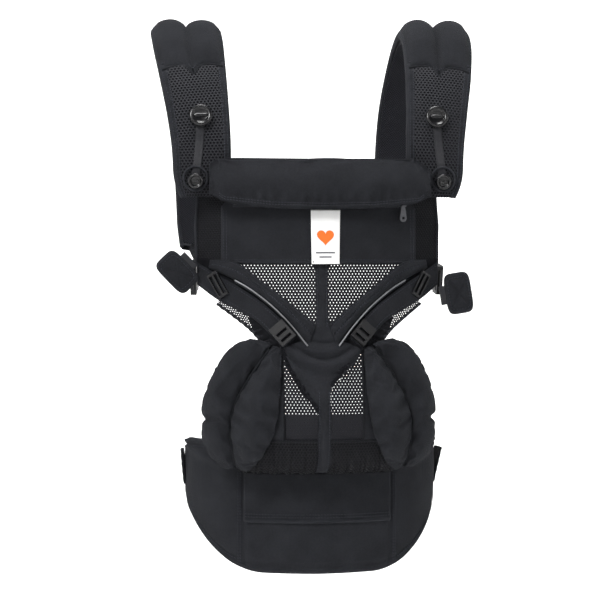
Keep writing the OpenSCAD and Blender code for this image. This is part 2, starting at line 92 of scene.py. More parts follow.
def points(*coords):
    """Points from x, y and z, each of them a number or an array."""
    return np.stack(np.broadcast_arrays(*(np.asarray(c, float) for c in coords)), -1)


def mirrored(p, side):
    out = np.array(p, float)
    out[..., 0] *= side
    return out


def round_angles(n):
    return np.linspace(0, 2 * math.pi, n, endpoint=False)


def rounded_box(a, half_x, half_y, power_x, power_y):
    """Outline of a box with rounded corners at angles a; a lower power is squarer."""
    c, s = np.cos(a), np.sin(a)
    return half_x * np.sign(c) * np.abs(c) ** power_x, half_y * np.sign(s) * np.abs(s) ** power_y


def ease(n):
    """Steps from 0 to 1, closer together at both ends."""
    return (1 - np.cos(np.linspace(0, math.pi, n))) / 2


def bump(x, width):
    return np.exp(-((x / width) ** 2))


def arch(u, power=1.0):
    """Rises from 0 to 1 and back as u goes from 0 to 1."""
    return np.sin(math.pi * u) ** power


def crease(a, b, seed, size):
    """Smooth repeatable noise of two numbers, about -1 to 1; size is the width of a bump."""
    r = np.random.default_rng(seed)
    total = 0
    for k in range(7):
        angle = r.uniform(0, math.pi)
        f = r.uniform(0.7, 1.6) / size
        total = total + np.sin((a * math.cos(angle) + b * math.sin(angle)) * f * 3 + r.uniform(0, 6.28))
    return total / 4


def once(here, node):
    """A CAD node with copies on both sides is replaced by the piece on one of them."""
    return [node] if here else []


# ---- mesh making


def add(name, verts, faces, material, side=RIGHT, body=ROOT, slot=None, replaces=(), smooth=True, uv=None):
    """Makes a piece from points in mm, drawn on the right. uv holds one (u, v) in mm for each vertex."""
    mesh = bpy.data.meshes.new(name)
    mesh.from_pydata((mirrored(verts, side) * MM).tolist(), [], [list(map(int, f)) for f in faces])
    mesh.validate()
    if uv is not None:
        layer = mesh.uv_layers.new(name="weave")
        loops = np.zeros(len(mesh.loops), np.int32)
        mesh.loops.foreach_get("vertex_index", loops)
        layer.data.foreach_set("uv", (np.asarray(uv, float)[loops] * MM).astype(np.float32).ravel())
    mesh.materials.append(material)
    if smooth:
        mesh.polygons.foreach_set("use_smooth", [True] * len(mesh.polygons))
    o = bpy.data.objects.new(name, mesh)
    bpy.context.scene.collection.objects.link(o)
    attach(o, body)
    slot = slot or USUAL_SLOT.get(material.name)
    if replaces:
        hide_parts(*replaces)
    return o


def outward(o):
    """Turns a closed mesh's faces outwards."""
    bm = bmesh.new()
    bm.from_mesh(o.data)
    bmesh.ops.recalc_face_normals(bm, faces=bm.faces)
    bm.to_mesh(o.data)
    bm.free()
    return o


def grid_faces(nv, nu, start=0, close_u=False):
    faces = []
    for j in range(nv - 1):
        row, above = start + j * nu, start + (j + 1) * nu
        for i in range(nu if close_u else nu - 1):
            k = (i + 1) % nu
            faces.append((row + i, row + k, above + k, above + i))
    return faces


def tube(name, rings, material, **kind):
    """A capped tube of rings (nv, nr, 3), closed round each ring; its uv is its arc lengths in mm."""
    nv, nr = rings.shape[:2]
    verts = rings.reshape(-1, 3)
    faces = grid_faces(nv, nr, close_u=True)
    around = np.linalg.norm(np.roll(rings, -1, 1) - rings, axis=-1).mean(0).cumsum()
    along = np.r_[0, np.linalg.norm(np.diff(rings, axis=0), axis=-1).mean(1).cumsum()]
    uv = points(around[None, :], along[:, None]).reshape(-1, 2)
    for j, order in ((0, 1), (nv - 1, -1)):
        verts = np.vstack([verts, rings[j].mean(0)])
        uv = np.vstack([uv, uv[j * nr : (j + 1) * nr].mean(0)])
        c = len(verts) - 1
        faces += [(j * nr + i, j * nr + (i + 1) % nr, c)[::-order] for i in range(nr)]
    return outward(add(name, verts, faces, material, uv=uv, **kind))


def shell(name, front, back, material, held=None, **kind):
    """A closed piece between two grids (nv, nu, 3); uv follows the front. held is not used."""
    nv, nu = front.shape[:2]
    m = nv * nu
    faces = grid_faces(nv, nu) + [f[::-1] for f in grid_faces(nv, nu, m)]
    rim = [(0, i) for i in range(nu - 1)] + [(j, nu - 1) for j in range(nv - 1)]
    rim += [(nv - 1, i) for i in range(nu - 1, 0, -1)] + [(j, 0) for j in range(nv - 1, 0, -1)]
    ids = [j * nu + i for j, i in rim]
    faces += [(b, a, m + a, m + b) for a, b in zip(ids, ids[1:] + ids[:1])]
    across = np.concatenate([np.zeros((nv, 1)), np.linalg.norm(np.diff(front, axis=1), axis=-1).cumsum(1)], 1)
    across = across - across.mean(1, keepdims=True)
    along = np.concatenate([np.zeros((1, nu)), np.linalg.norm(np.diff(front, axis=0), axis=-1).cumsum(0)], 0)
    uv = points(across, along.mean(1, keepdims=True)).reshape(-1, 2)
    verts = np.vstack([front.reshape(-1, 3), back.reshape(-1, 3)])
    o = outward(add(name, verts, faces, material, uv=np.vstack([uv, uv]), **kind))
    return o


def directions(path):
    """The way along a path (n, 3) at each of its points."""
    return unit(np.gradient(path, axis=0))


def cord_mesh(name, path, radius, material, sides=8, squash=1.0, out=(0, -1.0, 0), **kind):
    """A round (or flattened) bead along a path; out is the direction away from the fabric."""
    d = directions(path)
    side = unit(np.cross(d, unit(np.broadcast_to(out, path.shape))))
    up = np.cross(side, d)
    a = round_angles(sides)[None, :, None]
    rings = path[:, None] + radius * (side[:, None] * np.cos(a) + up[:, None] * np.sin(a) * squash)
    return tube(name, rings, material, **kind)


def resample(path, step):
    """Points at equal steps along a path, each in the middle of its step."""
    length = np.r_[0, np.linalg.norm(np.diff(path, axis=0), axis=1).cumsum()]
    n = max(int(length[-1] / step), 1)
    at = (np.arange(n) + 0.5) * length[-1] / n
    return np.stack([np.interp(at, length, path[:, k]) for k in range(3)], 1)


STITCH_BOX = np.array([(x, y, z) for x in (-1, 1) for y in (-1, 1) for z in (-1, 1)], float)
STITCH_FACES = [(0, 1, 3, 2), (4, 6, 7, 5), (0, 4, 5, 1), (2, 3, 7, 6), (0, 2, 6, 4), (1, 5, 7, 3)]
STITCH_PITCH = 3.4
STITCH_LENGTH = 2.3
STITCH_WIDTH = 0.42
STITCH_RISE = 0.32
STITCH_LIFT = 0.05
STITCH_TOP = 0.55  # length of a stitch's top face for 1 of its foot


def stitch_rows(name, rows, out=(0, -1, 0), **kind):
    """Threads laid along each path of rows: short raised dashes with sunken ends."""
    verts, faces = [], []
    for path in rows:
        spots = resample(path, STITCH_PITCH)
        d = directions(spots)
        side = unit(np.cross(d, unit(np.broadcast_to(out, spots.shape))))
        for p, a, b, c in zip(spots, d, side, np.cross(side, d)):
            faces += [tuple(len(verts) + k for k in f) for f in STITCH_FACES]
            for x, y, z in STITCH_BOX:
                end = STITCH_TOP if z > 0 else 1.0
                rise = z * STITCH_RISE + STITCH_LIFT
                verts.append(p + a * x * STITCH_LENGTH / 2 * end + b * y * STITCH_WIDTH + c * rise)
    return outward(add(name, np.array(verts), faces, THREAD, **kind))


# ---- the panel's surface

# Rows of t, y, z and sideways curvature up the middle of the panel, as in the CAD model
PANEL = np.array([
    [-20, -117, 5.5, 0.0030], [0, -139, 8, 0.0034], [14, -153, 16, 0.0036], [32, -165, 33, 0.0036],
    [55, -171.5, 55, 0.0036], [85, -170, 85, 0.0034], [118, -161, 118, 0.0028], [150, -152, 150, 0.0022],
    [200, -142, 200, 0.0021], [250, -135, 250, 0.0021], [310, -130, 310, 0.0021], [366, -128, 366, 0.0021],
])
PANEL_T = np.arange(-40, 400, 1.0)
SMOOTHING = 19


def smooth_column(k):
    """One column of PANEL at every mm of t, carried on straight past its ends and smoothed."""
    raw = np.interp(PANEL_T, PANEL[:, 0], PANEL[:, k])
    for end, beyond, past in ((0, 1, PANEL_T < PANEL[0, 0]), (-1, -2, PANEL_T > PANEL[-1, 0])):
        slope = (PANEL[beyond, k] - PANEL[end, k]) / (PANEL[beyond, 0] - PANEL[end, 0])
        raw[past] = PANEL[end, k] + slope * (PANEL_T[past] - PANEL[end, 0])
    kernel = np.hanning(SMOOTHING)
    padded = np.pad(raw, SMOOTHING // 2, mode="reflect", reflect_type="odd")
    return np.convolve(padded, kernel / kernel.sum(), mode="valid")


PANEL_Y, PANEL_Z, PANEL_K = (smooth_column(k) for k in (1, 2, 3))
PANEL_DY, PANEL_DZ = np.gradient(PANEL_Y), np.gradient(PANEL_Z)


def panel(x, t, off=0.0):
    """Points of the panel at x and t in mm, moved back by off (forward when negative)."""
    x, t, off = np.broadcast_arrays(*(np.asarray(c, float) for c in (x, t, off)))
    y, z, k, dy, dz = (np.interp(t, PANEL_T, c) for c in (PANEL_Y, PANEL_Z, PANEL_K, PANEL_DY, PANEL_DZ))
    n = np.hypot(dy, dz)
    return np.stack([x, y + k * x * x + off * dz / n, z - off * dy / n], -1)


def on_panel(side, x, t, off=0.0):
    return mirrored(panel(x, t, off), side)


# ---- materials


class Nodes:
    """Short hand for building one material's nodes."""

    def __init__(self, name, color, rough, **sockets):
        self.m = bpy.data.materials.new(name)
        self.m.use_nodes = True
        self.tree = self.m.node_tree
        self.color = color
        self.bsdf = self.tree.nodes["Principled BSDF"]
        self.bsdf.inputs["Base Color"].default_value = (*color, 1)
        self.bsdf.inputs["Roughness"].default_value = rough
        for key, value in sockets.items():
            self.bsdf.inputs[key.replace("_", " ")].default_value = value

    def put(self, value, socket):
        """Gives a socket a number, or links it to another node's output."""
        if isinstance(value, bpy.types.NodeSocket):
            self.tree.links.new(value, socket)
        else:
            socket.default_value = value

    def node(self, kind, **inputs):
        n = self.tree.nodes.new(kind)
        for key, value in inputs.items():
            self.put(value, n.inputs[key.replace("_", " ")])
        return n

    def math(self, operation, a, b=0.0):
        n = self.tree.nodes.new("ShaderNodeMath")
        n.operation = operation
        self.put(a, n.inputs[0])
        self.put(b, n.inputs[1])
        return n.outputs[0]

    def plus(self, a, b):
        return self.math("ADD", a, b)

    def times(self, a, b):
        return self.math("MULTIPLY", a, b)

    def wave(self, a, k):
        return self.math("SINE", self.times(a, k))

    def weave(self):
        """Places on the cloth, across and along it."""
        n = self.node("ShaderNodeUVMap")
        n.uv_map = "weave"
        return self.node("ShaderNodeSeparateXYZ", Vector=n.outputs["UV"]).outputs

    def noise(self, scale, detail=3.0):
        place = self.node("ShaderNodeTexCoord").outputs["Object"]
        n = self.node("ShaderNodeTexNoise", Vector=place, Scale=scale, Detail=detail, Roughness=0.55)
        return n.outputs["Fac"]

    def ramp(self, fac, low, high):
        return self.node("ShaderNodeMapRange", Value=fac, From_Min=low, From_Max=high).outputs[0]

    def tint(self, fac, low, high):
        """Shades the base colour from low to high times its own value."""
        n = self.tree.nodes.new("ShaderNodeMix")
        n.data_type = "RGBA"
        self.put(fac, n.inputs[0])
        for socket, k in ((6, low), (7, high)):
            n.inputs[socket].default_value = (*shade(self.color, k), 1)
        self.put(n.outputs[2], self.bsdf.inputs["Base Color"])

    def bump(self, height, distance):
        n = self.node("ShaderNodeBump", Strength=1.0, Distance=distance, Height=height)
        self.put(n.outputs[0], self.bsdf.inputs["Normal"])


def shade(color, k):
    return tuple(c * k for c in color)


def cloth_material(name, color, pitch=0.9, depth=0.00030, sheen=0.015, rough=0.92, mottling_and_highlight=0.35):
    """Woven cloth: threads over and under, slubs, and a painted highlight that lightens raised edges."""
    n = Nodes(name, color, rough, Specular_IOR_Level=0.04, Sheen_Weight=sheen, Sheen_Roughness=0.45)
    n.bsdf.inputs["Sheen Tint"].default_value = (0.75, 0.78, 0.85, 1)
    uv, turn = n.weave(), 2 * math.pi / (pitch * MM)
    threads = n.times(n.wave(uv[0], turn), n.wave(uv[1], turn))
    slub, patch = n.noise(420.0, 4.0), n.noise(38.0)
    n.bump(n.plus(n.times(threads, 0.5), n.times(slub, 0.9)), depth)
    # painted highlight: where the surface is convex (high pointiness) the colour is lighter, standing in for
    # light catching the raised edges
    painted_edge_highlight = n.ramp(n.node("ShaderNodeNewGeometry").outputs["Pointiness"], 0.50, 0.60)
    tone = n.plus(n.times(n.plus(slub, patch), 0.5), n.times(painted_edge_highlight, 0.35))
    # random tone of the slubs and patches, plus the painted edge highlight
    n.tint(n.ramp(tone, 0.3, 0.8), 1 - mottling_and_highlight, 1 + mottling_and_highlight)
    return n.m


def net_material(name, color, rough=0.7):
    """Knitted thread of the open nets: fine twist along the thread."""
    n = Nodes(name, color, rough, Specular_IOR_Level=0.08, Sheen_Weight=0.01, Sheen_Roughness=0.4)
    fine = n.noise(2600.0, 2.0)
    n.bump(fine, 0.00012)
    n.tint(fine, 0.7, 1.4)
    return n.m


def spacer_material(name, color, pitch=3.2):
    """Spacer fabric seen close: rows of small sunken cells in a dark knit, with painted shade in the cells
    and painted light on the ridges between them.
    """
    n = Nodes(name, color, 0.85, Specular_IOR_Level=0.06, Sheen_Weight=0.01, Sheen_Roughness=0.5)
    uv, turn = n.weave(), math.pi / (pitch * MM)
    rising, falling = n.plus(uv[0], uv[1]), n.math("SUBTRACT", uv[0], uv[1])
    cell = n.math("ABSOLUTE", n.times(n.wave(rising, turn), n.wave(falling, turn)))
    n.bump(n.plus(n.times(cell, -1.0), n.times(n.noise(900.0, 2.0), 0.3)), 0.0007)
    # painted shade and light: the sunken cells are coloured darker and the ridges between them lighter
    n.tint(n.ramp(cell, 0.1, 0.7), 1.5, 0.25)
    return n.m


def webbing_material(name, color, pitch=1.5):
    """Flat woven strap: ribs across it in a herringbone, with a dull sheen, and painted light and shade on
    the ribs.
    """
    n = Nodes(name, color, 0.6, Specular_IOR_Level=0.2, Sheen_Weight=0.05, Sheen_Roughness=0.3)
    uv, turn = n.weave(), 2 * math.pi / (pitch * MM)
    zig = n.math("ABSOLUTE", n.wave(uv[0], turn / 6))
    rib = n.math("SINE", n.plus(n.times(uv[1], turn), n.times(zig, 3.0)))
    n.bump(n.plus(rib, n.noise(1500.0, 2.0)), 0.00018)
    # painted light and shade: the rib crests are coloured lighter and the grooves between them darker
    n.tint(n.ramp(rib, -1, 1), 0.6, 1.5)
    return n.m


def plastic_material(name, color, rough, coat):
    """Moulded plastic: fine grain, faint smears in the gloss."""
    n = Nodes(name, color, rough, Specular_IOR_Level=0.2, Coat_Weight=coat, Coat_Roughness=0.12)
    fine, smear = n.noise(1800.0, 2.0), n.noise(60.0, 4.0)
    n.bump(fine, 0.00004)
    n.put(n.plus(n.times(smear, 0.16), rough - 0.06), n.bsdf.inputs["Roughness"])
    n.tint(smear, 0.8, 1.3)
    return n.m


def metal_material(name, color, rough):
    """Dull metal, or a print that shines back like it."""
    n = Nodes(name, color, rough, Metallic=0.75)
    smear = n.noise(300.0)
    n.bump(smear, 0.00003)
    n.tint(smear, 0.7, 1.25)
    return n.m


def satin_material(name, color, mottling_and_highlight=0.08):
    return cloth_material(name, color, 0.35, 0.00005, 0.1, 0.55, mottling_and_highlight)


CHARCOAL = (0.0102, 0.0107, 0.0124)
CANVAS = cloth_material("canvas_weave", CHARCOAL)
CANVAS_PAD = cloth_material("canvas_padded", shade(CHARCOAL, 0.92))
CANVAS_DARK = cloth_material("canvas_seat", shade(CHARCOAL, 0.5))
LINING = spacer_material("mesh_lining", (0.0085, 0.0088, 0.0110))
BACKING = cloth_material("mesh_backing", (0.0036, 0.0037, 0.0046), pitch=0.7, sheen=0.01)
NET = net_material("net_thread", (0.0105, 0.0108, 0.0126))
NET_DARK = net_material("seat_net", (0.0042, 0.0043, 0.0052))
NET_FINE = net_material("window_net", (0.0055, 0.0056, 0.0070))
WEBBING = webbing_material("webbing_rib", (0.0060, 0.0062, 0.0080))
THREAD = net_material("stitch_thread", (0.0150, 0.0160, 0.0200), rough=0.8)
PIPE = metal_material("reflective_piping", (0.12, 0.123, 0.13), 0.42)
PIPE_CLOTH = cloth_material("piping_cloth", shade(CHARCOAL, 1.1), pitch=0.6)
PLASTIC = plastic_material("moulded_black", (0.0016, 0.0016, 0.0020), 0.42, 0.03)
GLOSS = plastic_material("knob_black", (0.0014, 0.0014, 0.0018), 0.26, 0.15)
ZINC = metal_material("zip_grey", (0.045, 0.046, 0.050), 0.5)
SATIN = satin_material("label_satin", (0.44, 0.44, 0.435), mottling_and_highlight=0.04)
ORANGE = satin_material("label_orange", (0.44, 0.088, 0.017))
GREY_PRINT = satin_material("label_grey", (0.07, 0.07, 0.077))

# The record's slots and the materials that belong to each; a piece may name a slot of its own, but add only
# looks the slot up and does not give it to the piece
SLOT_MATERIALS = {
    "canvas": (CANVAS, CANVAS_DARK, THREAD),
    "canvas_soft": (CANVAS_PAD, PIPE_CLOTH),
    "air_mesh": (LINING, BACKING, NET, NET_DARK, NET_FINE),
    "webbing": (WEBBING,),
    "piping": (PIPE,),
    "knob_plastic": (GLOSS,),
    "label_white": (SATIN, ORANGE, GREY_PRINT),
}
USUAL_SLOT = {material.name: slot for slot, group in SLOT_MATERIALS.items() for material in group}

# ---- camera, floor, light

VIEW_TURN = math.radians(-5.5)
VIEW_RISE = math.radians(1.2)
VIEW_FROM = 2.40
VIEW_HEIGHT = 0.201
VIEW_SHIFT = -0.0115
LENS = 118.4
SWEEP = [(0, -700), (3500, -700), (4600, -560), (5200, -100), (5400, 600), (5450, 4200)]
SKY = 0.12
# name, place, what it aims at, size in m and watts
LIGHTS = [
    ("key", (-1.5, -2.2, 2.3), (0, 0, 0.2), 0.8, 158),
    ("fill", (2.1, -2.0, 1.0), (0, 0, 0.2), 1.4, 5),
    ("top", (0.0, -0.2, 2.6), (0, 0, 0.2), 1.0, 120),
    ("rim_left", (-2.0, 1.5, 1.0), (0, 0, 0.25), 1.0, 2),
    ("rim_right", (2.0, 1.5, 1.0), (0, 0, 0.25), 1.0, 2),
]


def stand(name, data, place, look):
    """Puts a camera or a light in the scene, looking along a direction."""
    o = bpy.data.objects.new(name, data)
    bpy.context.scene.collection.objects.link(o)
    o.location = place
    o.rotation_mode = "QUATERNION"
    o.rotation_quaternion = look.to_track_quat("-Z", "Y")
    return o


def make_camera():
    data = bpy.data.cameras.new("photo_view")
    data.lens = LENS
    level = math.cos(VIEW_RISE)
    back = Vector((math.sin(VIEW_TURN) * level, -math.cos(VIEW_TURN) * level, math.sin(VIEW_RISE)))
    right = Vector((math.cos(VIEW_TURN), math.sin(VIEW_TURN), 0))
    place = Vector((0, 0, VIEW_HEIGHT)) + right * VIEW_SHIFT + back * VIEW_FROM
    bpy.context.scene.camera = stand("photo_view", data, place, -back)


def make_floor():
    """A pale sweep: a floor that curves up into a wall far behind, all round."""
    n = Nodes("pale_sweep", (0.93, 0.93, 0.93), 0.9, Emission_Strength=0.42)
    n.bsdf.inputs["Emission Color"].default_value = (1, 1, 1, 1)
    n.bump(n.noise(40.0), 0.0002)
    rows, steps = 40, 72
    rho = spline(SWEEP, np.linspace(0, 1, rows))
    a = round_angles(steps)
    rings = points(rho[:, :1] * np.cos(a), rho[:, :1] * np.sin(a), rho[:, 1:])
    add("studio_sweep", rings.reshape(-1, 3), grid_faces(rows, steps, close_u=True), n.m)


def make_lights():
    world = bpy.data.worlds.new("studio")
    bpy.context.scene.world = world
    world.use_nodes = True
    sky = world.node_tree.nodes["Background"].inputs
    sky[0].default_value = (1, 1, 1, 1)
    sky[1].default_value = SKY
    for name, place, aim, size, watts in LIGHTS:
        data = bpy.data.lights.new(name, "AREA")
        data.shape, data.size, data.energy = "SQUARE", size, watts
        stand(name, data, place, Vector(aim) - Vector(place))
    bpy.context.scene.view_settings.view_transform = "Standard"


make_camera()
make_floor()
make_lights()

# ---- fabric builders


def ring_grid(front, back):
    """Closed rings of a pad: over the front grid and back under it."""
    return np.concatenate([front, back[:, -2:0:-1]], 1)


def between(edge_a, edge_b, u, v, curve):
    """Grids of x, t, u and v between two edge lines, with u across and v along."""
    flat = curve(edge_a, v)[:, None] * (1 - u[:, None]) + curve(edge_b, v)[:, None] * u[:, None]
    return flat[..., 0], flat[..., 1], *np.broadcast_arrays(u, v[:, None])


def panel_pad(name, edge_a, edge_b, side, off_back, edge_t, full_t, nu, nv, crown, folds, **kind):
    """A padded piece on the panel between two edge lines; folds(x, t, u, v) adds to its thickness."""
    x, t, u, v = between(edge_a, edge_b, ease(nu), ease(nv), spline)
    thick = edge_t + (full_t - edge_t) * (arch(u, crown[0]) * arch(v, crown[1])) + folds(x, t, u, v)
    rings = ring_grid(panel(x, t, off_back - thick), panel(x, t, off_back))
    return tube(name, rings, CANVAS_PAD, side=side, **kind)


def panel_layer(name, edge_a, edge_b, side, material, off_front, off_back, nu, nv,
                folds=lambda x, t, u, v: 0, curve=walk, held="stretched", **kind):
    """A flat layer of cloth on the panel between two edge lines."""
    x, t, u, v = between(edge_a, edge_b, np.linspace(0, 1, nu), np.linspace(0, 1, nv), curve)
    wave = folds(x, t, u, v)
    front, back = panel(x, t, off_front + wave), panel(x, t, off_back + wave)
    return shell(name, front, back, material, held=held, side=side, **kind)


def within(edge_a, edge_b, foot, head, margin_a, margin_b):
    """A test for places between two edge lines, less a margin at each, and from foot to head in t."""
    a, b = (walk(e, np.linspace(0, 1, 200)) for e in (edge_a, edge_b))
    a, b = (e[np.argsort(e[:, 1])] for e in (a, b))

    def inside(x, t):
        low, high = (np.interp(t, e[:, 1], e[:, 0]) for e in (a, b))
        return (x > low + margin_a) & (x < high - margin_b) & (t > foot) & (t < head)

    return inside


SIX_SIDED_ROW = 0.866


def hex_net(name, inside, low, high, surface, material, pitch, opening, thick, stretch=1.0, **kind):
    """A net of open six-sided holes, kept between two corners where inside(a, b) is true.

    surface(a, b, off) gives its points."""
    row = pitch * SIX_SIDED_ROW * stretch
    j = np.arange(math.floor(low[1] / row), math.ceil(high[1] / row) + 1)
    i = np.arange(math.floor(low[0] / pitch) - 1, math.ceil(high[0] / pitch) + 1)
    jj, ii = np.meshgrid(j, i, indexing="ij")
    cells = np.stack([(ii + 0.5 * (jj % 2)) * pitch, jj * row], -1).reshape(-1, 2)
    cells = cells[inside(cells[:, 0], cells[:, 1])]
    corner = np.arange(6) * math.pi / 3 + math.pi / 6
    ring = np.stack([np.cos(corner), np.sin(corner) * stretch], 1) * pitch / math.sqrt(3)
    corners = [(cells[:, None] + ring * k).reshape(-1, 2) for k in (1, opening)]
    flat = np.concatenate(corners)
    # corners that neighbouring cells share become one point
    keys, back = np.unique(np.round(flat / (pitch * 0.02)).astype(np.int64), axis=0, return_inverse=True)
    back = back.ravel()
    spots = np.zeros((len(keys), 2))
    spots[back] = flat
    n, m = len(cells), len(keys)
    o, i = back[: 6 * n].reshape(n, 6), back[6 * n :].reshape(n, 6)
    quads = np.stack([o, np.roll(o, -1, 1), np.roll(i, -1, 1), i], -1).reshape(-1, 4)
    sides = {(a, b): None for q in quads for a, b in zip(q, np.roll(q, -1))}
    faces = [tuple(q) for q in quads] + [tuple(q[::-1] + m) for q in quads]
    faces += [(b, a, a + m, b + m) for a, b in sides if (b, a) not in sides]
    verts = np.vstack([surface(spots[:, 0], spots[:, 1], off) for off in (-thick / 2, thick / 2)])
    piece = outward(add(name, verts, faces, material, smooth=False, uv=np.vstack([spots, spots]), **kind))
    return piece


def panel_net(name, inside, low, high, folds, *net, **kind):
    """A net laid on the panel; folds(x, t) moves it back."""
    return hex_net(name, inside, low, high, lambda x, t, off: panel(x, t, off + folds(x, t)), *net, **kind)


# ---- upper panel and its windows

BAND_HALF = 7.5
PANEL_HALF = 113.5
PANEL_TOP = 366
WINDOW_PITCH = 3.8
WINDOW_OPENING = 0.31
LOWER_OPENING = 0.28
WINDOW_THREAD = 0.7
ZIP_T = 315
# the canvas hem at the head of the windows
HEM_T = 247


def soft_panel(x, t):
    """Slack in the upper canvas: shallow bulges and drag lines towards its corners."""
    drag = 0.8 * np.sin((x + 0.6 * (t - HEM_T)) / 23) * bump(t - 262, 26)
    return drag + 0.9 * crease(x, t * 1.6, 3, 60)


def make_upper_panel():
    edge = [[PANEL_HALF, 246.0], [PANEL_HALF, 312], [102.5, 322], [102.5, PANEL_TOP]]
    panel_layer("upper_canvas", [[-x, t] for x, t in edge], edge, RIGHT, CANVAS, -2.2, 2, 90, 60,
                folds=lambda x, t, u, v: -np.abs(soft_panel(x, t)) * arch(u, 0.5), replaces=["upper_panel"])
    x = np.linspace(-PANEL_HALF + 4, PANEL_HALF - 4, 120)
    rows = [panel(x, 249.5, -2.4 - np.abs(soft_panel(x, 249.5)))]
    t = np.linspace(250, 308, 40)
    for side in SIDES:
        slack = np.abs(soft_panel(side * 110.0, t)) * 0.4
        rows += [panel(side * (PANEL_HALF - inset), t, -2.3 - slack) for inset in (3.0, 6.0)]
    stitch_rows("upper_canvas_stitching", rows)
    x = np.linspace(-PANEL_HALF, PANEL_HALF, 120)
    cord_mesh("upper_canvas_hem", panel(x, HEM_T, -2.0), 1.5, CANVAS)


def make_window(side):
    edges = [[BAND_HALF - 2, 249], [BAND_HALF - 2, 172]], [[104, 249], [BAND_HALF + 1, 172]]
    panel_net(f"window_net_upper_{SIDES[side]}", within(*edges, 173, 250, 0, -3), (0, 170), (110, 252),
              lambda x, t: 0.5 * crease(x, t, 11, 22), NET_FINE, WINDOW_PITCH, WINDOW_OPENING, WINDOW_THREAD,
              side=side, replaces=[f"upper_mesh_{SIDES[side]}"])


def make_gusset(side):
    """Dark mesh wing beside the upper canvas: a backing cloth with a raised net."""
    name = SIDES[side]
    edge_a = [[PANEL_HALF - 1, 247.5], [PANEL_HALF - 1.5, 308], [100.5, 319], [100.5, 328]]
    edge_b = [[141, 244], [142, 290], [139, 330]]

    def sag(x, t, *_):
        return 2.2 * np.sin((t - HEM_T) / 21 + 0.6) * bump(x - 128, 12) + 0.8 * crease(x, t, 21 + side, 18)

    panel_layer(f"gusset_backing_{name}", edge_a, edge_b, side, BACKING, -0.4, 1.2, 20, 50,
                folds=sag, replaces=[f"panel_gusset_{name}"])
    panel_net(f"gusset_net_{name}", within(edge_a, edge_b, 249, 326, 1, 2), (100, 245), (145, 330),
              lambda x, t: sag(x, t) - 1.0, NET_DARK, 3.3, 0.62, 0.6, stretch=0.9, side=side)
    t = np.linspace(245, 326, 60)
    x = np.interp(t, [t for _, t in edge_b], [x for x, _ in edge_b])
    cord_mesh(f"gusset_binding_{name}", on_panel(side, x, t, 0.2 + sag(x, t)), 1.9, CANVAS)


def make_label():
    """White satin label with a plain heart and two stripes; it carries no lettering."""
    left, top, width, height = -12, 307, 34, 62.5
    edges = [[left, top], [-11.5, 244.5]], [[left + width, top], [20.5, 244.5]]

    def curl(x, t, u, v):
        return -2.0 * v**2 * (0.4 + u) * 0.8 - 0.5

    def printed(px, pz):
        p = panel(px, pz, -3.55 + curl(0, 0, (px - left) / width, (top - pz) / height))
        return p + [0, -0.12, 0]

    panel_layer("label_cloth", *edges, RIGHT, SATIN, -3.4, -2.6, 24, 40, folds=curl, replaces=["label"])
    n = 48
    a = round_angles(n)
    heart_x = 16 * np.sin(a) ** 3
    heart_z = 13 * np.cos(a) - 5 * np.cos(2 * a) - 2 * np.cos(3 * a) - np.cos(4 * a)
    rings = [printed(4.6 + heart_x * k * 0.62, 276 + heart_z * k * 0.62) for k in (1.0, 0.66, 0.33)]
    middle = printed(np.array([4.6]), np.array([276.0]))
    faces = grid_faces(3, n, close_u=True) + [(2 * n + i, 2 * n + (i + 1) % n, 3 * n) for i in range(n)]
    add("label_heart", np.vstack(rings + [middle]), faces, ORANGE)
    for k, (stripe, half) in enumerate(((258.5, 11), (253.5, 7))):
        x, z = np.meshgrid(np.linspace(4.4 - half, 4.4 + half, 12), np.linspace(stripe, stripe - 1.6, 3))
        add(f"label_stripe_{k}", printed(x, z).reshape(-1, 3), grid_faces(3, 12), GREY_PRINT)


# The band's edges from top to foot: straight, out into the saddle between the clasps, and in again
BAND_EDGE = [
    [BAND_HALF, 249], [BAND_HALF, 205], [BAND_HALF + 0.5, 178], [17, 160], [42, 147], [38, 134], [22, 118],
    [BAND_HALF + 1, 103], [BAND_HALF, 76], [BAND_HALF, 46], [BAND_HALF + 2, 20], [BAND_HALF + 4, -2],
    [BAND_HALF + 5, -18],
]
BAND_EDGE_LEFT = [
    [-BAND_HALF, 249], [-BAND_HALF, 205], [-BAND_HALF - 0.5, 178], [-17, 160], [-44, 149], [-39, 132],
    [-29, 111], [-17, 92], [-BAND_HALF, 76], [-BAND_HALF, 46], [-BAND_HALF - 2, 20], [-BAND_HALF - 4, -2],
    [-BAND_HALF - 5, -18],
]


def make_centre_band():
    """Canvas band down the middle; it gathers into soft folds where the yoke pulls on it."""

    def folds(x, t, u, v):
        saddle = bump(t - 140, 17)
        line = (t - 138 - 0.011 * x * x + 2 * np.sin(x / 19 + 1)) / 2.9
        swag = (np.abs(np.sin(line / 2)) * 2 - 1) * saddle * (0.5 + 0.5 * bump(x, 30)) * 3.4
        crown = 1.2 * bump(t - 140, 30) + 0.9 * np.cos(math.pi * (u - 0.5)) ** 2
        return -swag - 2.5 * saddle - crown + 0.4 * crease(x, t, 5, 14)

    panel_layer("centre_band_cloth", BAND_EDGE_LEFT, BAND_EDGE, RIGHT, CANVAS, -1.6, 1.0, 40, 220,
                folds=folds, curve=spline, held="gathered", replaces=["centre_band"])
    runs = ((np.linspace(172, 244, 60), 5.2, -2.2), (np.linspace(-5, 100, 80), 5.6, -2.4))
    stitch_rows("centre_band_stitching", [panel(side * x, t, off) for t, x, off in runs for side in SIDES])
    # puckered tab under the label
    x, t = np.meshgrid(np.linspace(-13, 13, 40), np.linspace(240, 248, 14))
    wave = 1.6 * np.sin(x * 1.1) * (t - 238) / 10
    x = x * (0.7 + (t - 240) / 26)
    shell("label_tab", panel(x, t, -3.4 - wave), panel(x, t, -2.0), CANVAS_DARK)


# ---- yoke

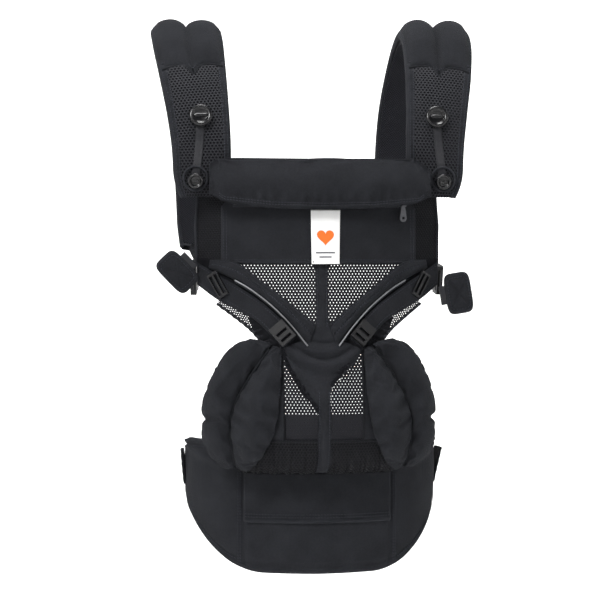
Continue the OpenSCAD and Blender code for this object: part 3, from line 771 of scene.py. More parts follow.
YOKE_TOP = [[126, 250], [97, 246.5], [67, 224], [38, 201], [8, 176]]
YOKE_FOOT = [[128, 240], [100, 227], [72, 208.5], [45, 185], [16, 151]]
YOKE_EDGE_T, YOKE_FULL_T = 2.0, 9.0
PIPING = [[99, 225.5], [85, 217.5], [71, 207.5], [57, 195.5], [44, 182.5], [31, 167.5], [18, 150.5]]
ADJUSTER_TOP = [[141, 247], [119, 233], [97, 220], [70, 201.5], [47, 180.5], [31, 161]]
ADJUSTER_FOOT = [[141, 221], [120, 205], [100, 193.5], [76, 180], [60, 164.5], [45, 148]]
GORE_TOP = [[118, 212], [92, 198], [68, 180], [48, 158]]
GORE_FOOT = [[118, 199], [98, 184], [80, 169], [66, 152]]
GORE_WIDTH, GORE_LENGTH = 22, 90
# the gathered rim of the lower window, which the saddle pulls on more at the left
GATHER = {
    RIGHT: [[46, 148], [33, 139], [20, 122], [9, 108]],
    LEFT: [[46, 150], [41, 133], [31, 113], [18, 94], [9, 82]],
}


def make_yoke(side):
    """Padded curved band with a quilted channel, and a reflective bead in a cloth flange."""
    name = SIDES[side]

    def channels(x, t, u, v):
        quilt = -1.5 * bump(u - 0.52, 0.035) - 1.3 * bump(u - 0.13, 0.03)
        pull = 0.35 * np.sin(v * 150 + 3 * u) * bump(u - 0.52, 0.16)
        return quilt + pull + 0.5 * crease(x, t, 31 + side, 15)

    panel_pad(f"yoke_pad_{name}_cloth", YOKE_TOP, YOKE_FOOT, side, -1.6, YOKE_EDGE_T, YOKE_FULL_T, 49, 150,
              (0.55, 0.25), channels, replaces=[f"yoke_pad_{name}"])
    s = np.linspace(0.02, 0.98, 120)
    rows = []
    for u in (0.13, 0.50, 0.55):
        p = spline(YOKE_TOP, s) * (1 - u) + spline(YOKE_FOOT, s) * u
        lift = YOKE_EDGE_T + 7.0 * arch(u, 0.55) * arch(s, 0.25) - 1.1
        rows.append(on_panel(side, *p.T, -1.6 - lift))
    stitch_rows(f"yoke_stitching_{name}", rows, slot="canvas_soft")
    x, t = spline(PIPING, np.linspace(0, 1, 120)).T
    cord_mesh(f"piping_bead_{name}", on_panel(side, x, t, -7.6), 0.85, PIPE, replaces=["yoke_piping"])
    cord_mesh(f"piping_flange_{name}", on_panel(side, x - 0.7, t - 1.4, -5.6), 1.5, PIPE_CLOTH)


def make_yoke_backing(side):
    """Cloth that joins the yoke pad to the band below it."""
    top = [[141, 252], [119, 250], [97, 244], [67, 221], [38, 196], [14, 172]]
    foot = [[141, 226], [120, 211], [100, 198], [76, 184], [60, 168], [40, 150]]
    panel_layer(f"yoke_backing_{SIDES[side]}", top, foot, side, BACKING, -1.3, 0.4, 20, 90,
                curve=spline, slot="canvas")


def make_adjuster_band(side):
    name = SIDES[side]

    def ribs(x, t, u, v):
        edge = 0.7 * (bump(u, 0.06) + bump(u - 1, 0.06))
        return edge + 0.6 * crease(x, t, 41 + side, 20) + 0.8 * arch(u)

    panel_pad(f"adjuster_band_{name}_cloth", ADJUSTER_TOP, ADJUSTER_FOOT, side, -1.4, 2.4, 4.6, 33, 150,
              (0.4, 0.15), ribs, slot="webbing", replaces=[f"adjuster_band_{name}"])
    s = np.linspace(0.02, 0.98, 120)
    top, foot = spline(ADJUSTER_TOP, s), spline(ADJUSTER_FOOT, s)
    rows = [on_panel(side, *(top * (1 - u) + foot * u).T, -5.7) for u in (0.14, 0.86)]
    stitch_rows(f"adjuster_stitching_{name}", rows, slot="webbing")


def make_corner(side):
    """Canvas between the clasp and the top of the wing, and the gathered rim of the lower window."""
    name = SIDES[side]
    panel_layer(f"seat_corner_{name}", [[10, 174], [11, 158], [12, 146]], [[84, 184], [78, 168], [60, 146]],
                side, CANVAS_DARK, -1.2, 0.6, 40, 30,
                folds=lambda x, t, u, v: 1.4 * np.sin((x + t) / 3.1) * v + 0.5 * crease(x, t, 47, 12))
    s = np.linspace(0, 1, 160)
    x, t = spline(GATHER[side], s).T
    rope = on_panel(side, x + 0.9 * np.sin(s * 70), t + 0.9 * np.cos(s * 61), -2.4 + 0.8 * np.sin(s * 88))
    cord_mesh(f"window_gather_{name}", rope, 2.3, BACKING)


def make_side_mesh(side):
    """Small gathered mesh gore below the adjuster band."""
    name = SIDES[side]
    steps = np.linspace(0, 1, 80)
    edges = spline(GORE_TOP, steps), spline(GORE_FOOT, steps)

    def place(a, b, off):
        top, foot = (points(*(np.interp(b / GORE_LENGTH, steps, e[:, k]) for k in (0, 1))) for e in edges)
        k = a[..., None] / GORE_WIDTH
        x, t = (top * (1 - k) + foot * k).T
        return panel(x, t, off + 1.6 * np.sin(b * 0.62 + a * 0.12) * (0.35 + a / 30)
                     + 0.5 * crease(a, b, 51 + side, 7))

    hex_net(f"side_gore_{name}", lambda a, b: (a > 0) & (a < GORE_WIDTH) & (b > 0) & (b < GORE_LENGTH),
            (0, 0), (GORE_WIDTH, GORE_LENGTH), place, NET_FINE, 3.4, 0.44, 0.8, side=side,
            replaces=["side_mesh"])
    b = np.linspace(0, GORE_LENGTH, 90)
    rim = mirrored(place(GORE_WIDTH + 0 * b, b, 0.0), side)
    cord_mesh(f"side_gore_binding_{name}", rim, 1.7, CANVAS)


make_upper_panel()
make_label()
make_centre_band()
for side in SIDES:
    make_window(side)
    make_gusset(side)
    make_yoke(side)
    make_yoke_backing(side)
    make_adjuster_band(side)
    make_corner(side)
    make_side_mesh(side)

# ---- seat

WING_IN = (
    [[47, 147], [50, 96], [57, 56], [70, 27], [84, 8]],
    [[57, 151], [86, 108], [101, 77], [104, 50], [97, 12]],
)
WING_OUT = (
    [[58, 153], [87, 110], [102, 78], [105, 50], [98, 11]],
    [[82, 159], [102, 149], [120, 125], [133, 93], [136, 74], [131.5, 67], [136, 59], [133, 37], [116, 12]],
)


def seat_gather(x, t):
    """Pleats of the bucket seat, deepest where it is sewn to the belt."""
    depth = np.clip((52 - t) / 60, 0, 1)
    pleats = 2.1 * np.sin(x * 0.46 + 0.9 * np.sin(x * 0.11)) + 0.9 * np.sin(x * 0.83 + 1.3)
    return np.abs(depth * pleats + 0.5 * crease(x, t, 61, 26))


def make_seat(side):
    """Gathered seat, the canvas strip beside it and the lower window, with their nets and bindings."""
    name = SIDES[side]
    inner = BAND_HALF - 1
    foot_in = [[inner, 46], [inner, 20], [inner, 0], [inner, -18]]
    foot_out = [[72, 46], [82, 20], [90, 0], [94, -18]]
    panel_layer(f"seat_base_{name}_cloth", foot_in, foot_out, side, BACKING, -1.1, 1.1, 80, 50,
                folds=lambda x, t, u, v: -seat_gather(x * side, t), slot="canvas",
                replaces=once(side == LEFT, "seat_base"))
    panel_net(f"seat_base_net_{name}", within(foot_in, foot_out, -10, 45, 1, 3), (0, -18), (94, 48),
              lambda x, t: -1.7 - seat_gather(x * side, t), NET_DARK, 3.6, 0.66, 0.6, side=side)
    panel_layer(f"seat_side_{name}_cloth", [[44.5, 147], [44.5, 103], [44.5, 43]],
                [[62, 156], [66, 100], [72, 43]],
                side, CANVAS, -1.4, 1.1, 16, 50, folds=lambda x, t, u, v: 0.5 * crease(x, t, 71, 15),
                replaces=once(side == LEFT, "seat_side"))

    def in_window(x, t):
        top = np.minimum(104 + (x - 8) * 1.12, 146)
        return (x > BAND_HALF - 1.5) & (x < 47) & (t > 43) & (t < top)

    panel_net(f"window_net_lower_{name}", in_window, (4, 40), (50, 150),
              lambda x, t: 0.9 * crease(x, t, 81 + side, 24), NET_FINE, WINDOW_PITCH, LOWER_OPENING,
              WINDOW_THREAD, side=side, replaces=[f"seat_mesh_{name}"])
    # dark cloth behind the foot of the window
    panel_layer(f"window_foot_backing_{name}", [[inner, 74], [inner, 40]], [[48, 74], [48, 40]], side,
                BACKING,
                1.6, 2.6, 20, 20, folds=lambda x, t, u, v: 0.5 * crease(x, t, 83, 22))
    x, t = np.linspace(BAND_HALF, 66, 60), np.linspace(44, 146, 80)
    cord_mesh(f"seat_seam_{name}", on_panel(side, x, 44.0, -1.4), 1.4, CANVAS_DARK)
    cord_mesh(f"window_binding_{name}", on_panel(side, 45.6, t, -1.2), 1.4, CANVAS_DARK)


def make_wings(side):
    """The bucket's padded sides: an inner petal and an outer leaf, each puffed up."""
    name = SIDES[side]

    def inner(x, t, u, v):
        pull = 0.9 * np.sin(v * 46 + 4 * u) * (bump(u, 0.25) + bump(u - 1, 0.25)) * arch(v)
        return pull + 1.4 * crease(x, t, 91 + side, 26)

    def outer(x, t, u, v):
        fold = -6.5 * bump(t - 67 + 0.1 * (x - 130), 4.0) * np.clip(2.2 * u - 0.8, 0, 1)
        pull = 0.8 * np.sin(v * 40 + 3 * u) * bump(u, 0.3)
        return fold + pull + 1.5 * crease(x, t, 95 + side, 30)

    for which, edges, full_t, crown, folds in (("inner", WING_IN, 22, (0.55, 0.5), inner),
                                               ("outer", WING_OUT, 18, (0.5, 0.45), outer)):
        panel_pad(f"wing_{which}_{name}_cloth", *edges, side, -1.2, 4, full_t, 41, 80, crown, folds,
                  replaces=[f"wing_{which}_{name}"])
    s = np.linspace(0.03, 0.97, 90)
    x, t = ((spline(WING_IN[1], s) + spline(WING_OUT[0], s)) / 2).T
    cord_mesh(f"wing_seam_{name}", on_panel(side, x, t, -5.5), 1.6, CANVAS_DARK, slot="canvas_soft")
    x, t = spline(WING_IN[0], s).T
    stitch_rows(f"wing_stitching_{name}", [on_panel(side, x + 1.2, t, -6.3)], slot="canvas_soft")


# ---- waist belt

WAIST_A, WAIST_B = 141, 98
BELT_END = 100
BELT_FOOT = [[0, -115], [30, -114], [42, -105], [54, -88], [68, -65], [82, -43], [100, -23]]
BELT_HEAD = [[0, 30], [40, 36], [80, 36], [100, 28]]
SEAM_ANGLE = 35
TAB_HALF = 20.5
# how far the top of each tab stands out from the belt
TAB_FLARE = {LEFT: 3.5, RIGHT: 9.0}


def belt_edges(angle):
    """Heights of the belt's foot and head at an angle round the waist, in degrees from the front."""

    def height(line):
        at, z = np.array(line, float).T
        return sum(np.interp(np.clip(np.abs(angle) + d, 0, BELT_END), at, z) for d in (-4, -2, 0, 2, 4)) / 5

    return height(BELT_FOOT), height(BELT_HEAD)


def waist(angle, z, off):
    a = np.radians(angle)
    return points((WAIST_A + off) * np.sin(a), -(WAIST_B + off) * np.cos(a), z)


def belt_pad(name, inset, base, edge_t, full_t, material, nu, nv, folds=lambda angle, z, v: 0, **kind):
    reach = BELT_END - inset / 2.5
    angle, v = np.linspace(-reach, reach, nu)[:, None], ease(nv)[None, :]
    foot, head = belt_edges(angle)
    z = (foot + inset) * (1 - v) + (head - inset) * v
    ends = np.clip((1 - np.abs(angle) / BELT_END) * 12, 0, 1) ** 0.5
    thick = edge_t + (full_t - edge_t) * arch(v, 0.35) * ends + folds(angle, z, v)
    return tube(name, ring_grid(waist(angle, z, base + thick), waist(angle, z, base)), material, **kind)


def belt_folds(angle, z, v):
    """Seams, the tuck at each end and the pull of the webbing across the belt's cover."""
    out = np.abs(angle)
    seam = -1.8 * bump(out - SEAM_ANGLE, 1.1) - 1.4 * bump(v - 0.93, 0.018) - 1.2 * bump(v - 0.055, 0.014)
    tuck = 3.6 * bump(z - 30 + (78 - out) * 0.72, 4.5) * np.clip((out - 38) / 20, 0, 1)
    pull = 0.12 * np.sin(angle * 1.9) * bump(z + 2, 14) * np.clip((out - 40) / 20, 0, 1)
    return seam + tuck + pull + 0.8 * crease(angle * 2.4, z, 101, 34)


def make_belt_flap():
    """Pocket flap on the front of the belt, with a rolled hem."""
    angle, v = np.linspace(-34.2, 34.2, 100)[:, None], np.linspace(0, 1, 30)[None, :]
    foot = -55
    z = foot + 0 * angle + v * 56
    off = 11.4 + np.abs(1.2 * bump(v, 0.06) + 0.9 * (1 - v) * crease(angle * 2.4, z, 111, 30))
    shell("belt_flap_cloth", waist(angle, z, off + 1.4), waist(angle, z, off), CANVAS, held="stretched",
          replaces=["belt_flap"])
    a = np.linspace(-33.5, 33.5, 140)
    stitch_rows("belt_flap_stitching", [waist(a, -50.0, 13.9), waist(a, -46.6, 13.8)])
    cord_mesh("belt_flap_hem", waist(a, foot, 13.0), 1.7, CANVAS)


def make_belt():
    belt_pad("belt_lining", 4, 0.3, 3.4, 5.0, LINING, 90, 24, slot="foam", replaces=["belt_foam"])
    belt_pad("belt_cover_cloth", 0, 5.6, 2.2, 5.4, CANVAS, 220, 70, belt_folds, replaces=["belt_cover"])
    make_belt_flap()
    a = np.linspace(-96, 96, 300)
    foot, head = belt_edges(a)
    cord_mesh("belt_binding_top", waist(a, head - 0.6, 6.6), 2.3, CANVAS)
    cord_mesh("belt_binding_foot", waist(a, foot + 0.6, 6.6), 2.3, CANVAS)
    for side in SIDES:
        foot, head = belt_edges(np.array([SEAM_ANGLE]))
        z = np.linspace(foot[0] + 6, head[0] - 5, 60)
        rows = [waist(side * (SEAM_ANGLE + d), z, 11.2) for d in (1.4, 2.6)]
        a = np.linspace(SEAM_ANGLE + 4, 96, 120) * side
        foot, head = belt_edges(a)
        rows += [waist(a, head - 7.5, 10.4), waist(a, foot + 7.0, 10.2)]
        stitch_rows(f"belt_stitching_{SIDES[side]}", rows)
        # stitched-down square where the webbing meets the belt
        a, z = np.meshgrid(side * np.linspace(86, 101, 16), np.linspace(-TAB_HALF, TAB_HALF, 16))
        flare = TAB_FLARE[side] * np.clip((z + TAB_HALF) / (2 * TAB_HALF), 0, 1) ** 1.4
        rise = flare + 0.8 * np.cos(z / 14) + 0.25 * np.sin(z * 1.6)
        shell(f"belt_tab_{SIDES[side]}", waist(a, z, 12.3 + rise), waist(a, z, 10.2 + flare), CANVAS_DARK)


# ---- webbing

WEBBING_T = 1.8
WEB_LEVEL = 3.1  # height of a webbing over its buckle's middle, where it leaves the socket
WEB_START = 6.5
STUB_END = -34.4
WAIST_PATH = [[143, 21], [139, 42], [127, 64], [102, 88], [64, 104]]
WAIST_BACK = 104
CHEST_Y, CHEST_Z = 101, 345
CHEST_REACH = 112
SIDE_WEB_WIDTH = 25


def ribbon(name, path, across, width, **kind):
    """A woven strip along a path (n, 3): across is the direction of its width."""
    across = unit(np.broadcast_to(across, path.shape))
    out = unit(np.cross(across, directions(path)))[:, None]
    u = np.linspace(-1, 1, 9)
    grid = path[:, None] + across[:, None] * (u * width / 2)[None, :, None]
    crown = (WEBBING_T / 2 * (1 - 0.35 * u**4))[None, :, None]
    shell(name, grid + out * crown, grid - out * crown, WEBBING, **kind)


def placed(matrix, p):
    m = np.array(matrix)
    return np.asarray(p, float) @ m[:3, :3].T + m[:3, 3]


def turn(x=0, y=0, z=0):
    rx, ry, rz = (Matrix.Rotation(math.radians(a), 4, axis) for a, axis in ((x, "X"), (y, "Y"), (z, "Z")))
    return rz @ ry @ rx


def frame_at(side, spot, rotation):
    """The frame of a piece at a spot on the right, mirrored to the left when side is LEFT."""
    return Matrix.Diagonal((side, 1, 1, 1)) @ Matrix.Translation(spot) @ rotation


def side_frame(side):
    """The side buckle's own frame: x runs along its webbing, from the plug to the strap."""
    return frame_at(side, (141, -58, 232), turn(90, -10.95, 97))


def make_webbing():
    s, upright = np.linspace(0, 1, 90), (0, 0, 1)
    for side in SIDES:
        name, right = SIDES[side], side == RIGHT
        x, y = spline(WAIST_PATH, s).T
        level = WEB_LEVEL if right else 0
        path = points(x, y + level * np.clip((s - 0.75) / 0.25, 0, 1), 0)
        tail = points(np.linspace(63, WEB_START if right else 41.5, 30), WAIST_BACK + level, 0)
        whole = mirrored(np.vstack([path[:-1], tail]), side)
        ribbon(f"waist_webbing_{name}", whole, upright, 38, replaces=once(right, "waist_webbing"))
        m = side_frame(side)
        across = np.array(m)[:3, 1]
        run = placed(m, points(np.linspace(WEB_START, 105.5, 60), 0, WEB_LEVEL))
        stub = placed(m, points(np.linspace(-41, STUB_END, 6), 0, 0))
        ribbon(f"side_webbing_{name}", run, across, SIDE_WEB_WIDTH, replaces=once(right, "side_webbing"))
        ribbon(f"side_stub_{name}", stub, across, SIDE_WEB_WIDTH)
    long = points(np.linspace(WEB_START, CHEST_REACH, 60), CHEST_Y + WEB_LEVEL, CHEST_Z)
    short = points(np.linspace(-CHEST_REACH, STUB_END, 40), CHEST_Y, CHEST_Z)
    ribbon("chest_webbing_right", long, upright, 20, body="chest_strap", replaces=["chest_webbing"])
    ribbon("chest_webbing_left", short, upright, 20, body="chest_strap")
    for side in SIDES:
        x, z = np.meshgrid(np.linspace(106.5, 117.5, 10), CHEST_Z + np.linspace(-17.5, 17.5, 30))
        r = 0.8 + (3.2 * arch(np.linspace(0, 1, 10), 0.5) + 0.25 * np.sin(z * 1.3))
        shell(f"chest_keeper_{SIDES[side]}", points(x, CHEST_Y + r, z), points(x, CHEST_Y - r, z),
              CANVAS_DARK, side=side, body="chest_strap", slot="webbing")


for side in SIDES:
    make_seat(side)
    make_wings(side)
make_belt()
make_webbing()

# ---- shoulder straps

# Rows of x, y, z and width (1 is full) along the right strap, from its foot at the front over the shoulder
STRAP = np.array([
    [135, -108, 322, 0.775], [135.5, -110, 350, 0.775], [136.5, -107, 385, 0.8], [140, -97, 425, 0.85],
    [145, -76, 468, 0.925], [149, -42, 506, 0.99], [150, -2, 522, 1], [147, 36, 510, 0.975],
    [140, 64, 476, 0.925], [132, 80, 430, 0.875], [127, 86, 380, 0.825], [125, 84, 330, 0.8],
    [127, 71, 291, 0.72], [131, 54, 263, 0.55],
])
STRAP_HALF = 40
STRAP_FACE = 8.8
LOBE_T = {LEFT: 9.0, RIGHT: 12.0}
KNOB_LOW, KNOB_HIGH = np.array([0.054, 0.28]), np.array([0.206, -0.04])
SEAM_S = 0.309
NET_PITCH = 4.1
STRAP_S = np.linspace(0, 1, 400)
STRAP_ARC = np.r_[0, np.linalg.norm(np.diff(spline(STRAP, STRAP_S)[:, :3], axis=0), axis=1).cumsum()]


def strap(s, u, off):
    """Points of the right strap at s along it, u across it (-1 to 1) and off outward, in mm."""
    s, u, off = np.broadcast_arrays(*(np.asarray(c, float) for c in (s, u, off)))
    p = spline(STRAP, s)
    # the outer corner of its foot is rounded off
    u = np.where(u > 0, u * (1 - 0.28 * np.clip(1 - s / 0.09, 0, 1) ** 2), u)
    d = unit(spline(STRAP, s + 0.02)[..., :3] - spline(STRAP, s - 0.02)[..., :3])
    across = unit(np.array([1.0, 0, 0]) - d * d[..., :1])
    out = np.cross(across, d)
    aside, up = u * p[..., 3] * STRAP_HALF, off - 1.2 * u * u
    return p[..., :3] + across * aside[..., None] + out * up[..., None]


def on_strap(side, s, u, off):
    return mirrored(strap(s, u, off), side)


def strap_width(s):
    return spline(STRAP, s)[..., 3] * STRAP_HALF


def seam_line(u):
    """Where the canvas top meets the mesh front, dipping at the middle groove."""
    return SEAM_S - 0.014 * bump(u, 0.16) + 0.006 * np.abs(arch(u))


def strap_pad(name, side, s0, s1, half, base, edge_t, full, material, nu, nv, **kind):
    """A closed pad on the strap from s0(u) to s1; full(s, u) is its thickness there."""
    u, v = (2 * ease(nu) - 1)[None, :] * half, np.linspace(0, 1, nv)[:, None]
    s = s0(u) * (1 - v) + s1 * v
    ends = np.clip(np.minimum(v, 1 - v) * 14, 0, 1) ** 0.5
    rim = np.clip((1 - np.abs(u) / half) * 6, 0, 1) ** 0.5
    thick = edge_t + np.maximum(full(s, u) - edge_t, 0) * ends * rim
    rings = ring_grid(strap(s, u, base + thick), strap(s, u, base))
    tube(name, rings, material, side=side, **kind)


def strap_layer(name, u, s, off_front, off_back, material, **kind):
    """A flat layer of cloth on the strap, over grids of u and s."""
    shell(name, strap(s, u, off_front), strap(s, u, off_back), material, **kind)


def grid_of(u, s):
    return np.meshgrid(np.linspace(*u), np.linspace(*s))


def make_strap_pads(side):
    """The foam core, and the canvas top's two puffed lobes with a groove between them."""
    name = SIDES[side]

    def lobes(s, u):
        two = np.clip(1 - (2 * np.abs(u) - 1.0) ** 2, 0, 1) ** 0.72
        fade = np.clip((0.66 - s) / 0.16, 0, 1)
        fade = fade * fade * (3 - 2 * fade)
        wrinkle = 0.9 * crease(u * 30, s * 400, 121 + side, 26)
        wrinkle = wrinkle + 0.5 * np.sin(u * 30 + 3) * bump(s - SEAM_S, 0.03)
        thin = 1.0 + 0.4 * crease(u * 30, s * 400, 123, 20)
        return 2.6 + (LOBE_T[side] + wrinkle) * two * fade + (1 - fade) * thin

    strap_pad(f"strap_core_{name}", side, lambda u: 0.004, 0.996, 0.96, -5.8, 4, lambda s, u: 11.4,
              PIPE_CLOTH, 25, 150, slot="foam", replaces=once(side == LEFT, "strap_foam"))
    strap_pad(f"strap_top_{name}", side, seam_line, 0.998, 1.0, 5.6, 2.0, lobes, CANVAS_PAD, 61, 190,
              replaces=[f"strap_cover_{name}"])


def make_strap_front(side):
    """Mesh front on its backing cloth."""
    name = SIDES[side]

    def rise(u, s):
        bow = np.cos(np.clip(u, -1, 1) * math.pi / 2) ** 0.5
        return 1.5 * bow + 0.35 * crease(u * 30, s * 600, 131 + side, 18)

    u, s = grid_of((-0.96, 0.96, 30), (0.004, SEAM_S + 0.004, 120))
    strap_layer(f"strap_front_backing_{name}", u, s, 7.0 + rise(u, s), 5.4, BACKING, held="stretched",
                side=side)

    def on_mesh(a, b):
        """u and s at a place on the cloth, in mm across and along the strap."""
        s = np.interp(b, STRAP_ARC, STRAP_S)
        return a / strap_width(s), s

    def place(a, b, off):
        u, s = on_mesh(a, b)
        return strap(s, u, 7.6 + rise(u, s) + off)

    def inside(a, b):
        u, s = on_mesh(a, b)
        return (np.abs(u) < 0.84) & (b > 2) & (s < seam_line(u) + 0.002)

    seam_arc = float(np.interp(SEAM_S, STRAP_S, STRAP_ARC))
    hex_net(f"strap_net_{name}", inside, (-STRAP_HALF, 0), (STRAP_HALF, seam_arc + 6), place, NET, NET_PITCH,
            0.66, 1.0, stretch=0.9, side=side)


def make_strap_trim(side):
    """Canvas borders, bindings, stitching, the seam of the canvas top, lining and the knobs' tape."""
    name = SIDES[side]
    edges = {"in": -1, "out": 1}
    for where, edge in edges.items():
        u, s = np.meshgrid(edge * np.linspace(0.80, 1.0, 8), np.linspace(0.002, SEAM_S + 0.01, 110))
        front = 8.9 + 0.25 * np.sin(s * 260)
        strap_layer(f"strap_border_{name}_{where}", u, s, front, 6.0, CANVAS, side=side)
    run = np.linspace(0.003, 0.995, 260)
    away = mirrored(strap(run, 0, 20) - strap(run, 0, 0), side)
    for where, edge in edges.items():
        cord_mesh(f"strap_binding_{name}_{where}", on_strap(side, run, edge * 0.985, 1.2), 3.0, CANVAS,
                  squash=1.9, out=away)
    front, across = np.linspace(0.006, SEAM_S - 0.004, 140), np.linspace(-0.96, 0.96, 60)
    rows = [on_strap(side, front, edge * k, 9.3) for edge in edges.values() for k in (0.83, 0.95)]
    rows.append(on_strap(side, seam_line(across) + 0.012, across, 10.2))
    stitch_rows(f"strap_stitching_{name}", rows, out=mirrored([0, -0.9, 0.4], side))
    cord_mesh(f"strap_seam_{name}", on_strap(side, seam_line(across), across, 8.3), 1.7, CANVAS_DARK)
    u, s = grid_of((-0.97, 0.97, 30), (0.003, 0.997, 240))
    quilt = 0.7 * bump(u, 0.07) + 0.4 * crease(u * 30, s * 600, 141 + side, 22)
    strap_layer(f"strap_lining_{name}", u, s, -8.4 + quilt, -5.9, LINING, held="stretched", side=side,
                replaces=once(side == LEFT, "strap_lining"))
    v = np.linspace(0.0, 1.0, 70)[:, None]
    s, u = (low * (1 - v) + high * v for low, high in zip(KNOB_LOW, KNOB_HIGH))
    strap_layer(f"strap_tape_{name}", u + np.linspace(-0.15, 0.15, 7), s, 10.9, 9.4, WEBBING, side=side,
                replaces=once(side == LEFT, "strap_tape"))


def make_strap_tail(side):
    """The sewn tongue that joins the strap's lower end to the side webbing."""
    steps = 40
    wide, thin = rounded_box(round_angles(steps), 1, 1, 0.35, 0.5)
    m = side_frame(RIGHT)

    def lined_up(ring, other):
        """The ring in whichever order lies closest to the other, point for point."""
        orders = (np.roll(ring[::way], k, 0) for way in (1, -1) for k in range(steps))
        return min(orders, key=lambda q: ((q - other) ** 2).sum())

    upper = strap(0.955, wide * 0.9, thin * 4.5)
    lower, far = (placed(m, points(x, wide * 13.2, WEB_LEVEL + thin * 2.4)) for x in (97, 107))
    lower = lined_up(lower, upper)
    bend = np.array([0, 5, -2])
    rings = [upper * (1 - s) + lower * s + bend * math.sin(math.pi * s) for s in np.linspace(0, 1, 14)]
    rings.append(lined_up(far, lower))
    tube(f"strap_tail_{SIDES[side]}", np.array(rings), CANVAS_DARK, side=side)


# A knob's outline from the middle of its foot to the middle of its dish: shares of radius and height
KNOB_PROFILE = [
    (0, 0), (0.55, 0), (0.55, 0.42), (0.90, 0.45), (0.98, 0.50), (1, 0.60), (1, 0.82), (0.97, 0.93),
    (0.90, 0.99), (0.82, 1), (0.74, 0.985), (0.67, 0.92), (0.63, 0.84), (0.55, 0.80), (0, 0.79),
]


def make_knob(side, which, place, d, h):
    """A dished knob on the strap, with a bar across the dish."""
    r, name = d / 2, SIDES[side]
    ahead, behind = spline(STRAP, place[0] + 0.02), spline(STRAP, place[0] - 0.02)
    tilt = math.degrees(math.atan2(*(ahead - behind)[1:3]))
    m = frame_at(side, strap(*place, STRAP_FACE + 0.5).tolist(), turn(90 - tilt))
    a = round_angles(64)
    radius, height = (np.array(KNOB_PROFILE) * (r, h)).T[..., None]
    radius = np.maximum(radius, 0.001)
    rings = points(radius * np.cos(a), radius * np.sin(a), height)
    tube(f"{which}_knob_{name}", placed(m, rings), GLOSS, replaces=once(side == LEFT, f"{which}_knob"))
    x, y = rounded_box(round_angles(40), r * 0.60, r * 0.15, 0.7, 0.6)
    rings = [points(x * k, y * k, h * z) for k, z in ((1, 0.74), (1, 0.93), (0.9, 0.97), (0.5, 0.98))]
    tube(f"{which}_knob_bar_{name}", placed(m, np.array(rings)), GLOSS)


# ---- head pillow

PILLOW_HALF = 128
PILLOW_TOP = 366
PILLOW_LINE = [[-128, 327], [-112, 315], [-60, 309], [0, 307.5], [60, 309], [112, 314], [128, 325]]
PILLOW_BOW = 0.0008
LOOP_R = 13.7


def pillow_rear(x, z):
    """y of the pillow's rear, which leans and bows with the panel."""
    return PILLOW_BOW * x * x + np.interp(z, [308, 366], [-141.5, -134])


def make_pillow():
    """The pillow folded down over the panel, its stitching and the loops round the lower knobs."""
    kind = {"body": "head_pillow"}
    u, v = ease(150)[None, :], ease(50)[:, None]
    x = PILLOW_HALF * (2 * u - 1)
    line_x, line_z = np.array(PILLOW_LINE, float).T
    foot = sum(np.interp(x + d, line_x, line_z) for d in (-8, -4, 0, 4, 8)) / 5
    droop = 15 * np.clip((x - 104) / 24, 0, 1) ** 1.6 + 6 * np.clip((-x - 114) / 14, 0, 1) ** 2
    head = PILLOW_TOP + 0.9 * np.sin(x / 17 + 1) - droop
    z = foot * (1 - v) + head * v
    rise = arch(u, 0.22) * np.where(v < 0.5, arch(v, 0.5), 0.42 + 0.58 * arch(v))
    seam = -2.4 * bump(z - foot - 5.5, 1.6)
    pucker = 1.3 * np.sin(x * 0.42 + 1.1 * np.sin(x * 0.09)) * bump(z - foot - 11, 7)
    pucker = pucker + 0.8 * np.sin(x * 0.23 + 2) * bump(z - head + 8, 8)
    thick = 5 + 14.5 * rise + (seam + pucker + 1.8 * crease(x, z * 1.3, 151, 38)) * arch(u, 0.4)
    rear = pillow_rear(x, z)
    rings = ring_grid(points(x, rear - thick, z), points(x, rear, z))
    tube("head_pillow_cloth", rings, CANVAS_PAD, replaces=["head_pillow"], **kind)
    x = np.linspace(-118, 118, 300)
    rows = []
    for lift in (4.2, 6.6):
        z = np.interp(x, line_x, line_z) + lift
        rows.append(points(x, pillow_rear(x, z) - (13.5 + lift * 0.45), z))
    stitch_rows("head_pillow_stitching", rows, slot="canvas_soft", **kind)
    x, y, z = strap(*KNOB_LOW, STRAP_FACE + 3.1) + [0, 0, 3]
    a = np.linspace(0, 2 * math.pi, 61)
    for side in SIDES:
        loop = mirrored(points(x + LOOP_R * np.cos(a), y, z + LOOP_R * np.sin(a)), side)
        cord_mesh(f"pillow_loop_{SIDES[side]}", loop, 1.35, PIPE_CLOTH,
                  replaces=once(side == LEFT, "pillow_loop"), **kind)


# ---- zip, buckle pads and hardware

PAD_HALF_W, PAD_HALF_H = 15.5, 24
PAD_POWER = 0.42
# Rings of a buckle pad from the middle of its front to the middle of its rear: share of size, and height
PAD_LEVELS = [
    (0.02, 5.6), (0.25, 5.5), (0.5, 5.1), (0.68, 4.7), (0.76, 3.7), (0.80, 3.7), (0.88, 4.4),
    (0.95, 3.6), (1.0, 1.6), (1.01, 0), (1.0, -1.6), (0.94, -3.6), (0.5, -4.4), (0.02, -4.5),
]


def make_zip():
    x, t = np.meshgrid(np.linspace(-100, 100, 120), np.linspace(ZIP_T - 4.5, ZIP_T + 4.5, 5))
    shell("zip_tape_cloth", panel(x, t, -4.0), panel(x, t, -2.2), PIPE_CLOTH, slot="zip_tape",
          replaces=["zip_tape"])
    x = np.linspace(-99, 99, 2000)
    coil = panel(x, ZIP_T + 1.1 * np.sin(x * 3.6), -4.2 - 0.5 * np.cos(x * 3.6))
    cord_mesh("zip_coil", coil, 0.45, PLASTIC, sides=5, slot="zip_tape")


